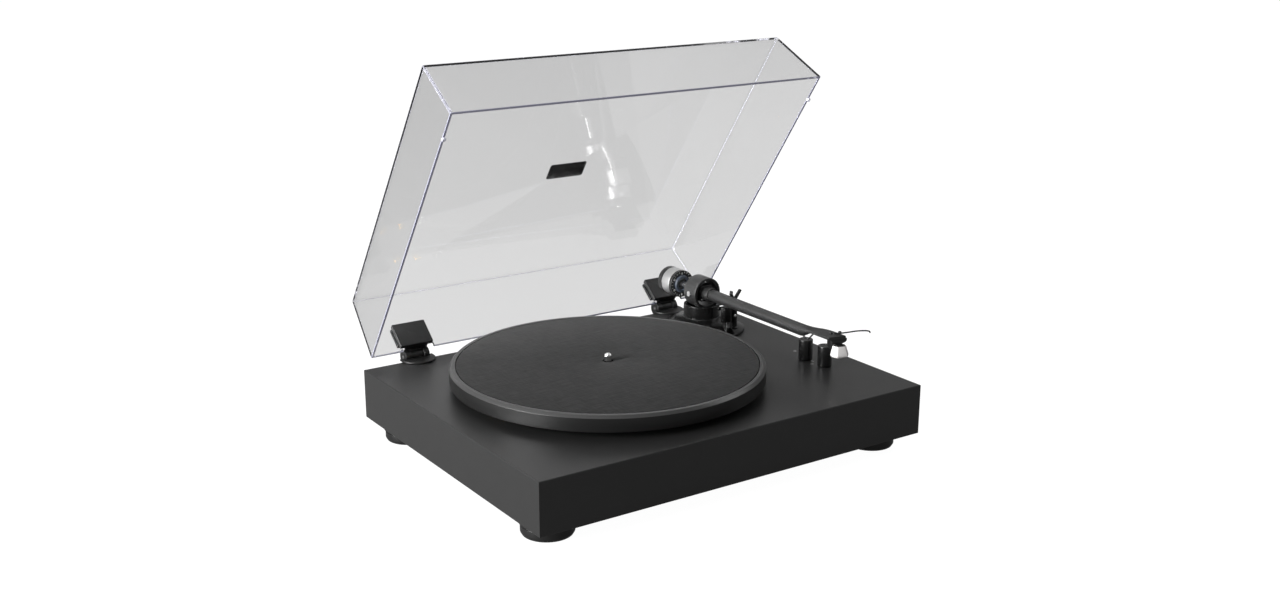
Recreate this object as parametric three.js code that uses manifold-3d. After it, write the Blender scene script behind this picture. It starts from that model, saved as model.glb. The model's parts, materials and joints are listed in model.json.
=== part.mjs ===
// Belt-drive record player with a gimbal tonearm and a hinged clear dust cover.
// Millimetres, +Z up. The deck frame has x to the right from the left side, y to the back from the
// front face and z up from the top of the deck. The whole group is moved at the end, so that its
// origin is the middle of the footprint of the open record player, on the surface it stands on.
import * as THREE from 'three';
import { mergeVertices } from 'three/addons/utils/BufferGeometryUtils.js';
import Module from 'manifold-3d';

const wasm = await Module();
wasm.setup();

// Driving dimensions
const GAP = 0.25;                  // clearance between pieces that touch on the real object
const WIDTH = 420;                 // plinth, along x
const DEPTH = 335;                 // plinth, along y
const PLINTH_HEIGHT = 49;
const DECK_THICKNESS = 14;
const WALL = 16;
const COVER_THICKNESS = 3;         // bottom cover
const FOOT_INSET_X = 29;
const FOOT_INSET_Y = 36.5;
const FOOT_HEIGHT = 16;
const SPINDLE = { x: 177.5, y: 171.5 };
const PLATTER_RADIUS = 150;
const PLATTER_BOTTOM = 6.5;
const MAT_TOP = 22;
const MAT_THICKNESS = 2;
const MAT_RADIUS = 143.5;
const SUB_PLATTER_RADIUS = 62;
const BELT_TRACK_RADIUS = 60;      // where the belt runs on the sub-platter
const PULLEY_RADIUS = 7.5;         // where the belt runs on the pulley
const BELT = { thickness: 0.8, bottom: 6, top: 10 };
const MOTOR = { x: 104, y: 245, radius: 17, height: 20 };
const ARM = { x: 354, y: 261, z: 41 };   // crossing point of the tonearm's two bearing axes
const RING = { outer: 16.5, inner: 13.6, length: 20 };
const TUBE = { rear: 253, front: 98, rearRadius: 6, frontRadius: 5.9 };
const HEADSHELL = { bottom: 42, top: 45 };
const CARTRIDGE = { x: 362.8, y: 53.2, turn: THREE.MathUtils.degToRad(-15) };  // middle of its front
const WEIGHT = { front: 296.8, dial: 2.2, rear: 321.7, radius: 14.5 };
const SHAFT_RADIUS = 3.5;
const REST_POST = { x: 366.5, y: 221.5 };
const LIFTER = { x: 354, y: 219 };
const CUE_SHAFT = { y: 262, z: 23 };            // where the cue lever turns
const ANTI_SKATE = { x: 356, y: 288.5 };
const KNOBS = { power: { x: 378.5, y: 119.9 }, speed: { x: 380.3, y: 93.2 } };
const KNOB_RADIUS = 7;
const KNOB_HEIGHT = 21.5;
const LID = { width: 403.5, depth: 325, height: 69, sheet: 2.7 };
const LID_TAPER = { side: 5.7, front: 8.4, back: 5.9 };   // how far each wall leans in at the top
const LID_OPEN = THREE.MathUtils.degToRad(55);
const LID_CLOSED_RIM = { y: 332.25, z: 2.5 };             // back edge of the rim when it is closed
const HINGE_AXIS = { y: 341, z: 3 };
const HINGE_X = [58, 362];
const HINGE_CUTOUT = { left: 15, right: 18.5, height: 22 };
const PANEL = { x0: 90, x1: 220, z0: -38, z1: -12 };      // connector panel in the back wall

const group = new THREE.Group();

// Shapes

function block(x0, x1, y0, y1, z0, z1) {
  const geometry = new THREE.BoxGeometry(x1 - x0, y1 - y0, z1 - z0);
  return geometry.translate((x0 + x1) / 2, (y0 + y1) / 2, (z0 + z1) / 2);
}

// A turned piece about the z axis. The profile is a list of [radius, z], from the bottom up.
function turned(profile, segments = 24) {
  const points = profile.map(([radius, z]) => new THREE.Vector2(radius, z));
  return new THREE.LatheGeometry(points, segments).rotateX(Math.PI / 2);
}

function disc(radius, z0, z1, segments = 24) {
  return turned([[0, z0], [radius, z0], [radius, z1], [0, z1]], segments);
}

function tubeRing(inner, outer, z0, z1, segments = 24) {
  return turned([[inner, z0], [outer, z0], [outer, z1], [inner, z1], [inner, z0]], segments);
}

// A flat outline in x and y, from z0 to z1.
function slab(points, z0, z1) {
  const shape = new THREE.Shape(points.map(([x, y]) => new THREE.Vector2(x, y)));
  const geometry = new THREE.ExtrudeGeometry(shape, { depth: z1 - z0, bevelEnabled: false });
  return geometry.translate(0, 0, z0);
}

// Turns a piece made along z so that it lies along x or along y.
const alongX = (geometry) => geometry.rotateY(Math.PI / 2);
const alongY = (geometry) => geometry.rotateX(-Math.PI / 2);

function roundBar(points, radius, sides = 8) {
  const path = new THREE.CatmullRomCurve3(points.map((p) => new THREE.Vector3(...p)));
  const section = new THREE.Shape();
  for (let i = 0; i < sides; i++) {
    const angle = (2 * Math.PI * i) / sides;
    const method = i === 0 ? 'moveTo' : 'lineTo';
    section[method](radius * Math.cos(angle), radius * Math.sin(angle));
  }
  const steps = 4 * (points.length - 1);
  return new THREE.ExtrudeGeometry(section, { steps, extrudePath: path, bevelEnabled: false });
}

// Joins and cuts

function toSolid(geometry) {
  const bare = geometry.clone();
  bare.deleteAttribute('normal');
  bare.deleteAttribute('uv');
  const merged = mergeVertices(bare, 1e-4);
  const vertProperties = new Float32Array(merged.attributes.position.array);
  const triVerts = new Uint32Array(merged.index.array);
  return new wasm.Manifold(new wasm.Mesh({ numProp: 3, vertProperties, triVerts }));
}

function toGeometry(solid) {
  const mesh = solid.getMesh();
  const geometry = new THREE.BufferGeometry();
  geometry.setAttribute('position', new THREE.BufferAttribute(mesh.vertProperties, 3));
  geometry.setIndex(new THREE.BufferAttribute(mesh.triVerts, 1));
  return geometry;
}

function join(...geometries) {
  const solids = geometries.map(toSolid);
  return toGeometry(solids.reduce((sum, solid) => sum.add(solid)));
}

function cut(geometry, ...tools) {
  return toGeometry(tools.reduce((rest, tool) => rest.subtract(toSolid(tool)), toSolid(geometry)));
}

// Finishes

const finishes = {
  blackVinyl: { color: 0x2b2b2d, roughness: 0.55, metalness: 0 },
  blackPlastic: { color: 0x1a1a1c, roughness: 0.45, metalness: 0 },
  rubber: { color: 0x151515, roughness: 0.85, metalness: 0 },
  felt: { color: 0x444448, roughness: 0.95, metalness: 0 },
  blackMetal: { color: 0x202022, roughness: 0.4, metalness: 0.6 },
  steel: { color: 0xc8c8c8, roughness: 0.25, metalness: 1 },
  castAluminium: { color: 0xa8a8aa, roughness: 0.4, metalness: 1 },
  brass: { color: 0xb08d45, roughness: 0.35, metalness: 1 },
  gold: { color: 0xd4a83c, roughness: 0.3, metalness: 1 },
  greyPlastic: { color: 0x4a4a4c, roughness: 0.5, metalness: 0 },
  boardGreen: { color: 0x1d5a32, roughness: 0.5, metalness: 0 },
  clear: { color: 0xd4d4dc, roughness: 0.05, metalness: 0, transparent: true, opacity: 0.35 },
};

function add(name, geometry, finish, parent = group) {
  const mesh = new THREE.Mesh(geometry, new THREE.MeshStandardMaterial(finishes[finish]));
  mesh.name = name;
  parent.add(mesh);
  return mesh;
}

// Plinth, bottom cover and feet

function plinth() {
  const shape = new THREE.Shape();
  const bevel = 0.8;
  shape.moveTo(bevel, bevel);
  shape.lineTo(WIDTH - bevel, bevel);
  shape.lineTo(WIDTH - bevel, DEPTH - bevel);
  shape.lineTo(bevel, DEPTH - bevel);
  const body = new THREE.ExtrudeGeometry(shape, {
    depth: PLINTH_HEIGHT - 2 * bevel,
    bevelThickness: bevel,
    bevelSize: bevel,
    bevelSegments: 2,
  }).translate(0, 0, bevel - PLINTH_HEIGHT);
  const below = -PLINTH_HEIGHT - 1;
  const room = block(WALL, WIDTH - WALL, WALL, DEPTH - WALL, below, -DECK_THICKNESS);
  const ledge = 8;
  const recess = block(ledge, WIDTH - ledge, ledge, DEPTH - ledge, below,
    -PLINTH_HEIGHT + COVER_THICKNESS + 2 * GAP);
  const drill = (x, y, radius) => disc(radius, -20, 5, 24).translate(x, y, 0);
  return cut(body, room, recess,
    drill(SPINDLE.x, SPINDLE.y, 11),
    drill(MOTOR.x, MOTOR.y, 10),
    drill(ARM.x, ARM.y, 7),
    drill(LIFTER.x, LIFTER.y, 2.6),
    drill(KNOBS.power.x, KNOBS.power.y, 3.6),
    drill(KNOBS.speed.x, KNOBS.speed.y, 3.6),
    block(PANEL.x0 + 4, PANEL.x1 - 4, DEPTH - WALL - 1, DEPTH + 1, PANEL.z0 + 4, PANEL.z1 - 4));
}

function bottomCover() {
  const edge = 8 + GAP;
  const bottom = -PLINTH_HEIGHT;
  const top = bottom + COVER_THICKNESS;
  const sheet = block(edge, WIDTH - edge, edge, DEPTH - edge, bottom, top);
  const slots = [];
  for (let i = 0; i < 6; i++) {
    const x = MOTOR.x - 30 + 12 * i;
    slots.push(block(x - 2, x + 2, MOTOR.y - 25, MOTOR.y + 15, bottom - 1, top + 1));
  }
  return cut(sheet, ...slots);
}

// The foot is a moulded cup with a groove round it, over a rubber pad.
function foot() {
  const top = -PLINTH_HEIGHT - GAP;
  const bottom = -PLINTH_HEIGHT - FOOT_HEIGHT;
  return turned([
    [0, bottom + 1.5 + GAP], [20.5, bottom + 1.5 + GAP], [20.5, bottom + 0.8], [22.0, bottom + 0.8],
    [23.4, bottom + 3.2], [23.4, top - 6.6], [22.4, top - 6.0], [24.7, top - 4.6], [24.7, top], [0, top],
  ]);
}

function footPad() {
  const bottom = -PLINTH_HEIGHT - FOOT_HEIGHT;
  return turned([[0, bottom], [19, bottom], [20, bottom + 0.8], [20, bottom + 1.5], [0, bottom + 1.5]]);
}

add('plinth', plinth(), 'blackVinyl');
add('bottom_cover', bottomCover(), 'greyPlastic');
const footPlaces = {
  front_left: [FOOT_INSET_X, FOOT_INSET_Y],
  front_right: [WIDTH - FOOT_INSET_X, FOOT_INSET_Y],
  rear_left: [FOOT_INSET_X, DEPTH - FOOT_INSET_Y],
  rear_right: [WIDTH - FOOT_INSET_X, DEPTH - FOOT_INSET_Y],
};
for (const [place, [x, y]] of Object.entries(footPlaces)) {
  add(`foot_${place}`, foot(), 'blackPlastic').position.set(x, y, 0);
  add(`foot_pad_${place}`, footPad(), 'rubber').position.set(x, y, 0);
}

// Platter, main bearing and belt drive

const BEARING_FLOOR = -40;
const BALL_RADIUS = 2.4;
const SPINDLE_RADIUS = 3.6;
const SUB_PLATTER_TOP = MAT_TOP - MAT_THICKNESS - 6;      // the platter's web rests on it

function bearingHousing() {
  const bore = SPINDLE_RADIUS + GAP;
  return turned([
    [0, BEARING_FLOOR - 3], [9, BEARING_FLOOR - 3], [9, -DECK_THICKNESS - 4 - GAP],
    [24, -DECK_THICKNESS - 4 - GAP], [24, -DECK_THICKNESS - GAP], [9, -DECK_THICKNESS - GAP],
    [9, 2], [bore, 2], [bore, BEARING_FLOOR], [0, BEARING_FLOOR],
  ]);
}

function spindle() {
  const top = MAT_TOP + 7.5;
  return turned([
    [0, BEARING_FLOOR + 2 * BALL_RADIUS + 2 * GAP], [SPINDLE_RADIUS, BEARING_FLOOR + 2 * BALL_RADIUS + 2 * GAP],
    [SPINDLE_RADIUS, top - 2.2], [3.1, top - 1.1], [1.8, top - 0.25], [0, top],
  ], 32);
}

function subPlatter() {
  const bore = SPINDLE_RADIUS + GAP;
  const track = BELT_TRACK_RADIUS;
  return turned([
    [bore, 4], [SUB_PLATTER_RADIUS, 4], [SUB_PLATTER_RADIUS, 5.2], [track, 5.6], [track, 10.4],
    [SUB_PLATTER_RADIUS, 10.8], [SUB_PLATTER_RADIUS, SUB_PLATTER_TOP - GAP],
    [bore, SUB_PLATTER_TOP - GAP], [bore, 4],
  ], 40);
}

// The platter is a dish: a flat web under the mat, a raised lip round the mat and a deep rim.
function platter() {
  const bore = SPINDLE_RADIUS + GAP;
  const web = MAT_TOP - MAT_THICKNESS - GAP;
  const lip = MAT_RADIUS + 0.6;
  return turned([
    [bore, SUB_PLATTER_TOP], [138, SUB_PLATTER_TOP], [138, PLATTER_BOTTOM],
    [PLATTER_RADIUS, PLATTER_BOTTOM], [PLATTER_RADIUS, MAT_TOP - 2.6], [147.6, MAT_TOP],
    [lip, MAT_TOP], [lip, web], [bore, web], [bore, SUB_PLATTER_TOP],
  ], 60);
}

function mat() {
  return tubeRing(5, MAT_RADIUS, MAT_TOP - MAT_THICKNESS, MAT_TOP, 60);
}

function motorPulley() {
  return turned([
    [1.3, 2], [PULLEY_RADIUS + 1.2, 2], [PULLEY_RADIUS + 1.2, 4.6], [PULLEY_RADIUS, 5.4],
    [PULLEY_RADIUS, 10.6], [PULLEY_RADIUS + 1.2, 11.4], [PULLEY_RADIUS + 1.2, 12.6], [1.3, 12.6],
    [1.3, 2],
  ], 32);
}

function motor() {
  const top = -DECK_THICKNESS - GAP;
  const body = disc(MOTOR.radius, top - MOTOR.height, top - 2);
  const flange = slab([[-23, -9], [23, -9], [23, 9], [-23, 9]], top - 2.5, top);
  const shaft = disc(1, top - 1, 11.5, 16);
  return join(body, flange, shaft);
}

// The belt is a flat ring: two straight runs between an arc on each wheel.
function driveBelt() {
  const dx = MOTOR.x - SPINDLE.x;
  const dy = MOTOR.y - SPINDLE.y;
  const reach = Math.hypot(dx, dy);
  const loop = (offset) => {
    const big = BELT_TRACK_RADIUS + GAP + offset;
    const small = PULLEY_RADIUS + GAP + offset;
    const lean = Math.acos((big - small) / reach);
    const towards = Math.atan2(dy, dx);
    const points = [];
    const arc = (cx, cy, radius, from, to, count) => {
      for (let i = 0; i <= count; i++) {
        const angle = from + ((to - from) * i) / count;
        points.push(new THREE.Vector2(cx + radius * Math.cos(angle), cy + radius * Math.sin(angle)));
      }
    };
    arc(0, 0, big, towards + lean, towards + 2 * Math.PI - lean, 36);
    arc(dx, dy, small, towards - lean, towards + lean, 8);
    return points;
  };
  const shape = new THREE.Shape(loop(BELT.thickness));
  shape.holes.push(new THREE.Path(loop(0).reverse()));
  const depth = BELT.top - BELT.bottom;
  return new THREE.ExtrudeGeometry(shape, { depth, bevelEnabled: false }).translate(0, 0, BELT.bottom);
}

const atSpindle = (mesh) => mesh.position.set(SPINDLE.x, SPINDLE.y, 0);
atSpindle(add('bearing_housing', bearingHousing(), 'castAluminium'));
const ball = add('thrust_ball', new THREE.SphereGeometry(BALL_RADIUS, 16, 10), 'steel');
ball.position.set(SPINDLE.x, SPINDLE.y, BEARING_FLOOR + BALL_RADIUS + GAP);
atSpindle(add('spindle', spindle(), 'steel'));
atSpindle(add('sub_platter', subPlatter(), 'greyPlastic'));
atSpindle(add('platter', platter(), 'blackMetal'));
atSpindle(add('mat', mat(), 'felt'));
atSpindle(add('drive_belt', driveBelt(), 'rubber'));
add('motor', motor(), 'castAluminium').position.set(MOTOR.x, MOTOR.y, 0);
add('motor_pulley', motorPulley(), 'brass').position.set(MOTOR.x, MOTOR.y, 0);

// Controls and electronics

// The knob's bore takes the switch's shaft. A shallow groove marks where it points.
function knob() {
  const shell = turned([
    [3.4, 0.6], [KNOB_RADIUS - 0.4, 0.6], [KNOB_RADIUS, 1], [KNOB_RADIUS, KNOB_HEIGHT - 0.8],
    [KNOB_RADIUS - 0.25, KNOB_HEIGHT - 0.25], [KNOB_RADIUS - 0.8, KNOB_HEIGHT],
    [0, KNOB_HEIGHT], [0, 10], [3.4, 10], [3.4, 0.6],
  ]);
  return cut(shell, block(-0.5, 0.5, -KNOB_RADIUS - 1, -KNOB_RADIUS + 3.5, KNOB_HEIGHT - 0.5, KNOB_HEIGHT + 1));
}

function rotarySwitch() {
  const top = -DECK_THICKNESS - GAP;
  return join(block(-11, 11, -11, 11, top - 14, top), disc(3, top - 1, 9.6, 24));
}

for (const [name, { x, y }] of Object.entries(KNOBS)) {
  add(`${name}_knob`, knob(), 'blackPlastic').position.set(x, y, 0);
  add(`${name}_switch`, rotarySwitch(), 'greyPlastic').position.set(x, y, 0);
}

// The board carries its tallest parts: two capacitors and a connector block.
function circuitBoard() {
  const bottom = -PLINTH_HEIGHT + COVER_THICKNESS + 3;
  const capacitor = (x, y) => disc(6, bottom + 1, bottom + 15, 20).translate(x, y, 0);
  const posts = [[262, 262], [328, 262], [262, 308], [328, 308]].map(([x, y]) =>
    disc(3, -PLINTH_HEIGHT + COVER_THICKNESS + GAP, bottom + 1, 12).translate(x, y, 0));
  return join(block(255, 335, 255, 315, bottom, bottom + 1.6), capacitor(275, 280), capacitor(292, 280),
    block(305, 327, 268, 300, bottom + 1, bottom + 11), ...posts);
}
add('circuit_board', circuitBoard(), 'boardGreen');

// Connector panel on the back, with its sockets

const panelBack = DEPTH + GAP;
const panelFace = panelBack + 2;
const SOCKETS = { left: 112, right: 134, ground: 158, inlet: 190, z: -25 };

function connectorPanel() {
  const hole = (x, radius) =>
    alongY(disc(radius, -5, 5, 24)).translate(x, panelBack, SOCKETS.z);
  return cut(block(PANEL.x0, PANEL.x1, panelBack, panelFace, PANEL.z0, PANEL.z1),
    hole(SOCKETS.left, 6.2), hole(SOCKETS.right, 6.2), hole(SOCKETS.ground, 2.4), hole(SOCKETS.inlet, 5.2));
}

// Two phono sockets moulded as one block behind the panel. Each barrel has a round centre hole.
function signalJacks() {
  const front = panelBack - GAP;
  const body = block(SOCKETS.left - 9, SOCKETS.right + 9, front - 12, front - 1, SOCKETS.z - 8, SOCKETS.z + 7);
  const barrel = (x) => alongY(tubeRing(2.2, 4.1, -3, 9 + GAP, 16)).translate(x, front, SOCKETS.z);
  const collar = (x) => alongY(tubeRing(2.2, 5.8, -3, 1 + GAP, 16)).translate(x, front, SOCKETS.z);
  const bore = (x) => alongY(disc(2.2, -8, 12, 16)).translate(x, front, SOCKETS.z);
  return cut(join(body, barrel(SOCKETS.left), barrel(SOCKETS.right), collar(SOCKETS.left), collar(SOCKETS.right)),
    bore(SOCKETS.left), bore(SOCKETS.right));
}

// A thumb nut on a threaded stud, for the phono amplifier's earth wire.
function groundPost() {
  const post = turned([
    [0, -8], [2, -8], [2, 2 + 2 * GAP], [3.2, 2 + 2 * GAP], [3.2, 4], [4.6, 4.2], [4.6, 9], [4.2, 9.4],
    [0, 9.4],
  ], 24);
  return alongY(post).translate(SOCKETS.ground, panelBack, SOCKETS.z);
}

function powerInlet() {
  const front = panelBack - GAP;
  const body = block(SOCKETS.inlet - 7, SOCKETS.inlet + 7, front - 13, front - 1, SOCKETS.z - 7, SOCKETS.z + 7);
  const ring = alongY(disc(4.9, -3, 3.2, 24)).translate(SOCKETS.inlet, front, SOCKETS.z);
  const bore = alongY(tubeRing(1.1, 3.2, -7, 5, 16)).translate(SOCKETS.inlet, front, SOCKETS.z);
  return cut(join(body, ring), bore);
}

add('connector_panel', connectorPanel(), 'blackPlastic');
add('signal_jacks', signalJacks(), 'gold');
add('ground_post', groundPost(), 'steel');
add('power_inlet', powerInlet(), 'blackPlastic');

// Tonearm base: a domed flange, a round well for the gimbal's foot and a boss for the arm rest

const WELL = { inner: 15.8, outer: 19, floor: 20, top: 28.5 };
const BOSS_TOP = 8;

function armBase() {
  const dome = turned([
    [4.6, GAP], [45.5, GAP], [45.3, 3.0], [41, 5.0], [37, 7.6], [33, 11.6], [28.5, 13.6],
    [WELL.outer, 14.4], [WELL.outer, WELL.top], [WELL.inner, WELL.top], [WELL.inner, WELL.floor],
    [4.6, WELL.floor], [4.6, GAP],
  ], 36).translate(ARM.x, ARM.y, 0);
  const boss = disc(5.6, GAP, BOSS_TOP, 32).translate(REST_POST.x, REST_POST.y, 0);
  const rodHole = disc(1.7, -1, 12, 16).translate(LIFTER.x, LIFTER.y, 0);
  const shaftHole = alongX(disc(2.4, 0, 8, 20)).translate(ARM.x + 13, CUE_SHAFT.y, CUE_SHAFT.z);
  return cut(join(dome, boss), rodHole, shaftHole);
}

add('arm_base', armBase(), 'blackPlastic');

// Vertical bearing and gimbal: these turn with the arm

function armColumn() {
  return turned([[0, -24], [4, -24], [4.2, -23.6], [4.2, WELL.floor + 0.4], [0, WELL.floor + 0.4]], 24)
    .translate(ARM.x, ARM.y, 0);
}

function gimbalRing() {
  const half = RING.length / 2;
  const ring = alongY(turned([
    [RING.inner, -half], [RING.outer - 0.5, -half], [RING.outer, -half + 0.5], [RING.outer, half - 0.5],
    [RING.outer - 0.5, half], [RING.inner, half], [RING.inner, -half],
  ], 32)).translate(ARM.x, ARM.y, ARM.z);
  const foot = disc(7, WELL.floor + 0.7, ARM.z - RING.inner - 1.2, 32).translate(ARM.x, ARM.y, 0);
  const pivotHole = alongX(disc(2.2, -30, 30, 16)).translate(ARM.x, ARM.y, ARM.z);
  return cut(join(ring, foot), pivotHole);
}

// A slotted screw with a cone at its tip. side is -1 for the left one and 1 for the right one.
function pivotScrew(side) {
  const screw = turned([
    [0, 8.3], [0.5, 8.5], [1.9, 10.4], [1.9, RING.outer + 0.1], [3, RING.outer + 0.1],
    [3, RING.outer + 1.0], [2.6, RING.outer + 1.4], [0, RING.outer + 1.4],
  ], 24);
  const slot = block(-0.4, 0.4, -4, 4, RING.outer + 0.7, RING.outer + 3);
  const slotted = alongX(cut(screw, slot));
  return (side < 0 ? slotted.rotateZ(Math.PI) : slotted).translate(ARM.x, ARM.y, ARM.z);
}

add('arm_column', armColumn(), 'steel');
add('gimbal_ring', gimbalRing(), 'blackMetal');
add('pivot_screw_left', pivotScrew(-1), 'steel');
add('pivot_screw_right', pivotScrew(1), 'steel');

// Arm: bearing block, tube with its flattened headshell, cartridge and counterweight

function bearingBlock() {
  const body = block(ARM.x - 7.8, ARM.x + 7.8, ARM.y - 8, ARM.y + 8, ARM.z - 8.5, ARM.z + 8.5);
  const cup = (side) => {
    const cone = turned([[0, 6.6], [0.4, 6.6], [2.2, 8.5], [0, 8.5]], 16);
    return (side < 0 ? alongX(cone).rotateZ(Math.PI) : alongX(cone)).translate(ARM.x, ARM.y, ARM.z);
  };
  return cut(body, cup(-1), cup(1));
}

function armTube() {
  const length = TUBE.rear - TUBE.front;
  const rear = TUBE.rear - GAP;
  const tube = alongY(turned([
    [0, -length], [TUBE.frontRadius, -length], [TUBE.rearRadius, -10], [7.4, -9.6], [7.4, 0], [0, 0],
  ], 32)).translate(ARM.x, rear, ARM.z);
  const plate = slab([
    [349, 106], [349.6, 90], [349.6, 55], [CARTRIDGE.x + 4.5, 51], [368.6, 52.5], [368.6, 71], [365, 82],
    [359, 92], [359, 106],
  ], HEADSHELL.bottom, HEADSHELL.top);
  return join(tube, plate);
}

function fingerLift() {
  return roundBar([
    [361, 59.2, 46], [366, 56.6, 46], [372, 53.4, 46.6], [381, 49.4, 47.5], [389, 46.4, 47.2],
    [392.8, 45, 46.3], [393.7, 44.8, 44.6],
  ], 0.7);
}

// The cartridge and its stylus are made with the middle of the cartridge's front face at the
// origin, facing -y, and are then turned inwards and put in place together.
const cartridge = new THREE.Group();
cartridge.position.set(CARTRIDGE.x, CARTRIDGE.y, 0);
cartridge.rotation.z = CARTRIDGE.turn;
group.add(cartridge);
const MOUNT = HEADSHELL.bottom - GAP;
const STYLUS_TIP = 24.9;

function cartridgeBody() {
  return join(block(-8, 8, 0, 6, MOUNT - 5.2, MOUNT), block(-6, 6, 5, 15, MOUNT - 12, MOUNT),
    block(-4.5, 4.5, 14, 16.5, MOUNT - 9, MOUNT - 3));
}

// The stylus unit plugs in under the cartridge's front and carries the cantilever.
function stylusUnit() {
  const body = block(-4.4, 4.4, -2, 4.6, MOUNT - 13.5, MOUNT - 5.2 - GAP);
  const cantilever = slab([[-0.5, -1.5], [0.5, -1.5], [0.5, 1.5], [-0.5, 1.5]], STYLUS_TIP, MOUNT - 12);
  return join(body, cantilever);
}

// A clear scoop over the stylus, open at the back and at the top.
function stylusGuard() {
  const outer = [[-6.8, 4.4], [-8.6, 1], [-8.6, -3], [-5.4, -7.6], [5.4, -7.6], [8.6, -3], [8.6, 1], [6.8, 4.4]];
  const inner = [[-5.4, 6], [-7.3, 1], [-7.3, -2.4], [-4.6, -6.3], [4.6, -6.3], [7.3, -2.4], [7.3, 1], [5.4, 6]];
  const floor = 23;
  return cut(slab(outer, floor, MOUNT - 6.2), slab(inner, floor + 1.2, MOUNT));
}

function weightShaft() {
  return alongY(disc(SHAFT_RADIUS, ARM.y + 8 + GAP, WEIGHT.rear + 2.6, 24)).translate(ARM.x, 0, ARM.z);
}

const SLEEVE_RADIUS = 6;

function weightSleeve() {
  return alongY(tubeRing(SHAFT_RADIUS + GAP, SLEEVE_RADIUS, WEIGHT.front + 1, WEIGHT.rear - 2, 32))
    .translate(ARM.x, 0, ARM.z);
}

function counterweight() {
  const front = WEIGHT.front + WEIGHT.dial + GAP;
  const bore = SLEEVE_RADIUS + GAP;
  const r = WEIGHT.radius;
  return alongY(turned([
    [bore, front], [r - 0.4, front], [r, front + 0.4], [r, WEIGHT.rear - 7.2], [r - 0.5, WEIGHT.rear - 6.9],
    [r, WEIGHT.rear - 6.5], [r, WEIGHT.rear - 0.8], [r - 0.8, WEIGHT.rear], [bore, WEIGHT.rear],
    [bore, front],
  ], 32)).translate(ARM.x, 0, ARM.z);
}

// The force dial is a thin numbered ring, dished towards a raised middle.
function forceDial() {
  const back = WEIGHT.front + WEIGHT.dial;
  const bore = SLEEVE_RADIUS + GAP;
  const r = WEIGHT.radius;
  return alongY(turned([
    [bore, WEIGHT.front - 1.6], [8.4, WEIGHT.front - 1.6], [9, WEIGHT.front - 1], [9.4, WEIGHT.front + 0.5],
    [r - 0.4, WEIGHT.front], [r, WEIGHT.front + 0.4], [r, back], [bore, back], [bore, WEIGHT.front - 1.6],
  ], 32)).translate(ARM.x, 0, ARM.z);
}

add('bearing_block', bearingBlock(), 'blackMetal');
add('arm_tube', armTube(), 'blackMetal');
add('finger_lift', fingerLift(), 'blackMetal');
add('cartridge_body', cartridgeBody(), 'blackPlastic', cartridge);
add('stylus_unit', stylusUnit(), 'blackPlastic', cartridge);
add('stylus_guard', stylusGuard(), 'clear', cartridge);
add('weight_shaft', weightShaft(), 'steel');
add('weight_sleeve', weightSleeve(), 'greyPlastic');
add('counterweight', counterweight(), 'steel');
add('force_dial', forceDial(), 'blackPlastic');

// Arm rest, its clip, the cue lift and its lever, and the anti-skate dial

// The post has a hook under the tube, open towards the platter.
function armRest() {
  const post = turned([
    [0, BOSS_TOP + GAP], [4.2, BOSS_TOP + GAP], [4.2, 10], [3.4, 10.8], [3.4, 34.8], [3, 35.2], [0, 35.2],
  ], 28).translate(REST_POST.x, REST_POST.y, 0);
  const hook = slab([
    [REST_POST.x, REST_POST.y - 1], [REST_POST.x + 2, REST_POST.y + 6], [348.6, REST_POST.y + 6],
    [348.6, REST_POST.y + 3], [REST_POST.x - 3.2, REST_POST.y + 3],
  ], 29.6, 32.8);
  return join(post, hook);
}

const CLIP_AXIS = { x: REST_POST.x, z: 38.6 };

// The clip is a V on a round hub. Its short left prong closes over the tube.
function armClip() {
  const hub = alongY(disc(2.9, -1.8, 1.8, 24)).translate(CLIP_AXIS.x, 0, CLIP_AXIS.z);
  const prong = (points) => {
    const shape = new THREE.Shape(points.map(([x, z]) => new THREE.Vector2(x, z)));
    return new THREE.ExtrudeGeometry(shape, { depth: 3, bevelEnabled: false })
      .rotateX(Math.PI / 2).translate(0, 1.5, 0);
  };
  const left = prong([[364.2, 39.6], [366.6, 41.0], [363.6, 46.2], [364.0, 49.0], [361.6, 49.8], [360.9, 45.4]]);
  const right = prong([[366.2, 41.2], [368.6, 39.4], [375.4, 48.6], [373.4, 50.0]]);
  return join(hub, left, right).translate(0, REST_POST.y, 0);
}

function cueLifter() {
  const rod = disc(1.2, 1.0, 19, 16).translate(LIFTER.x, LIFTER.y, 0);
  const head = block(LIFTER.x - 4.5, LIFTER.x + 4.5, LIFTER.y - 3, LIFTER.y + 3, 18, 33.6);
  return join(rod, head);
}

// The lever's shaft runs out of the well's side, and its handle points forwards.
function cueLever() {
  const z = CUE_SHAFT.z;
  const shaft = alongX(disc(2, WELL.outer - 2.4, 33, 20)).translate(ARM.x, CUE_SHAFT.y, z);
  const handle = roundBar([
    [ARM.x + 31, CUE_SHAFT.y + 2, z], [ARM.x + 31.5, CUE_SHAFT.y - 10, z + 0.4],
    [ARM.x + 32, CUE_SHAFT.y - 22, z + 1],
  ], 1.5, 10);
  const tip = alongY(disc(2.6, -9, 0, 20)).translate(ARM.x + 32, CUE_SHAFT.y - 20, z + 1);
  return join(shaft, handle, tip);
}

function antiSkateDial() {
  return turned([[0, 15], [4.4, 15], [4.6, 15.3], [4.6, 18.2], [4.1, 18.7], [0, 18.7]], 28)
    .translate(ANTI_SKATE.x, ANTI_SKATE.y, 0);
}

add('arm_rest', armRest(), 'blackPlastic');
add('arm_clip', armClip(), 'blackPlastic');
add('cue_lifter', cueLifter(), 'blackPlastic');
add('cue_lever', cueLever(), 'blackPlastic');
add('anti_skate_dial', antiSkateDial(), 'blackPlastic');

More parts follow.
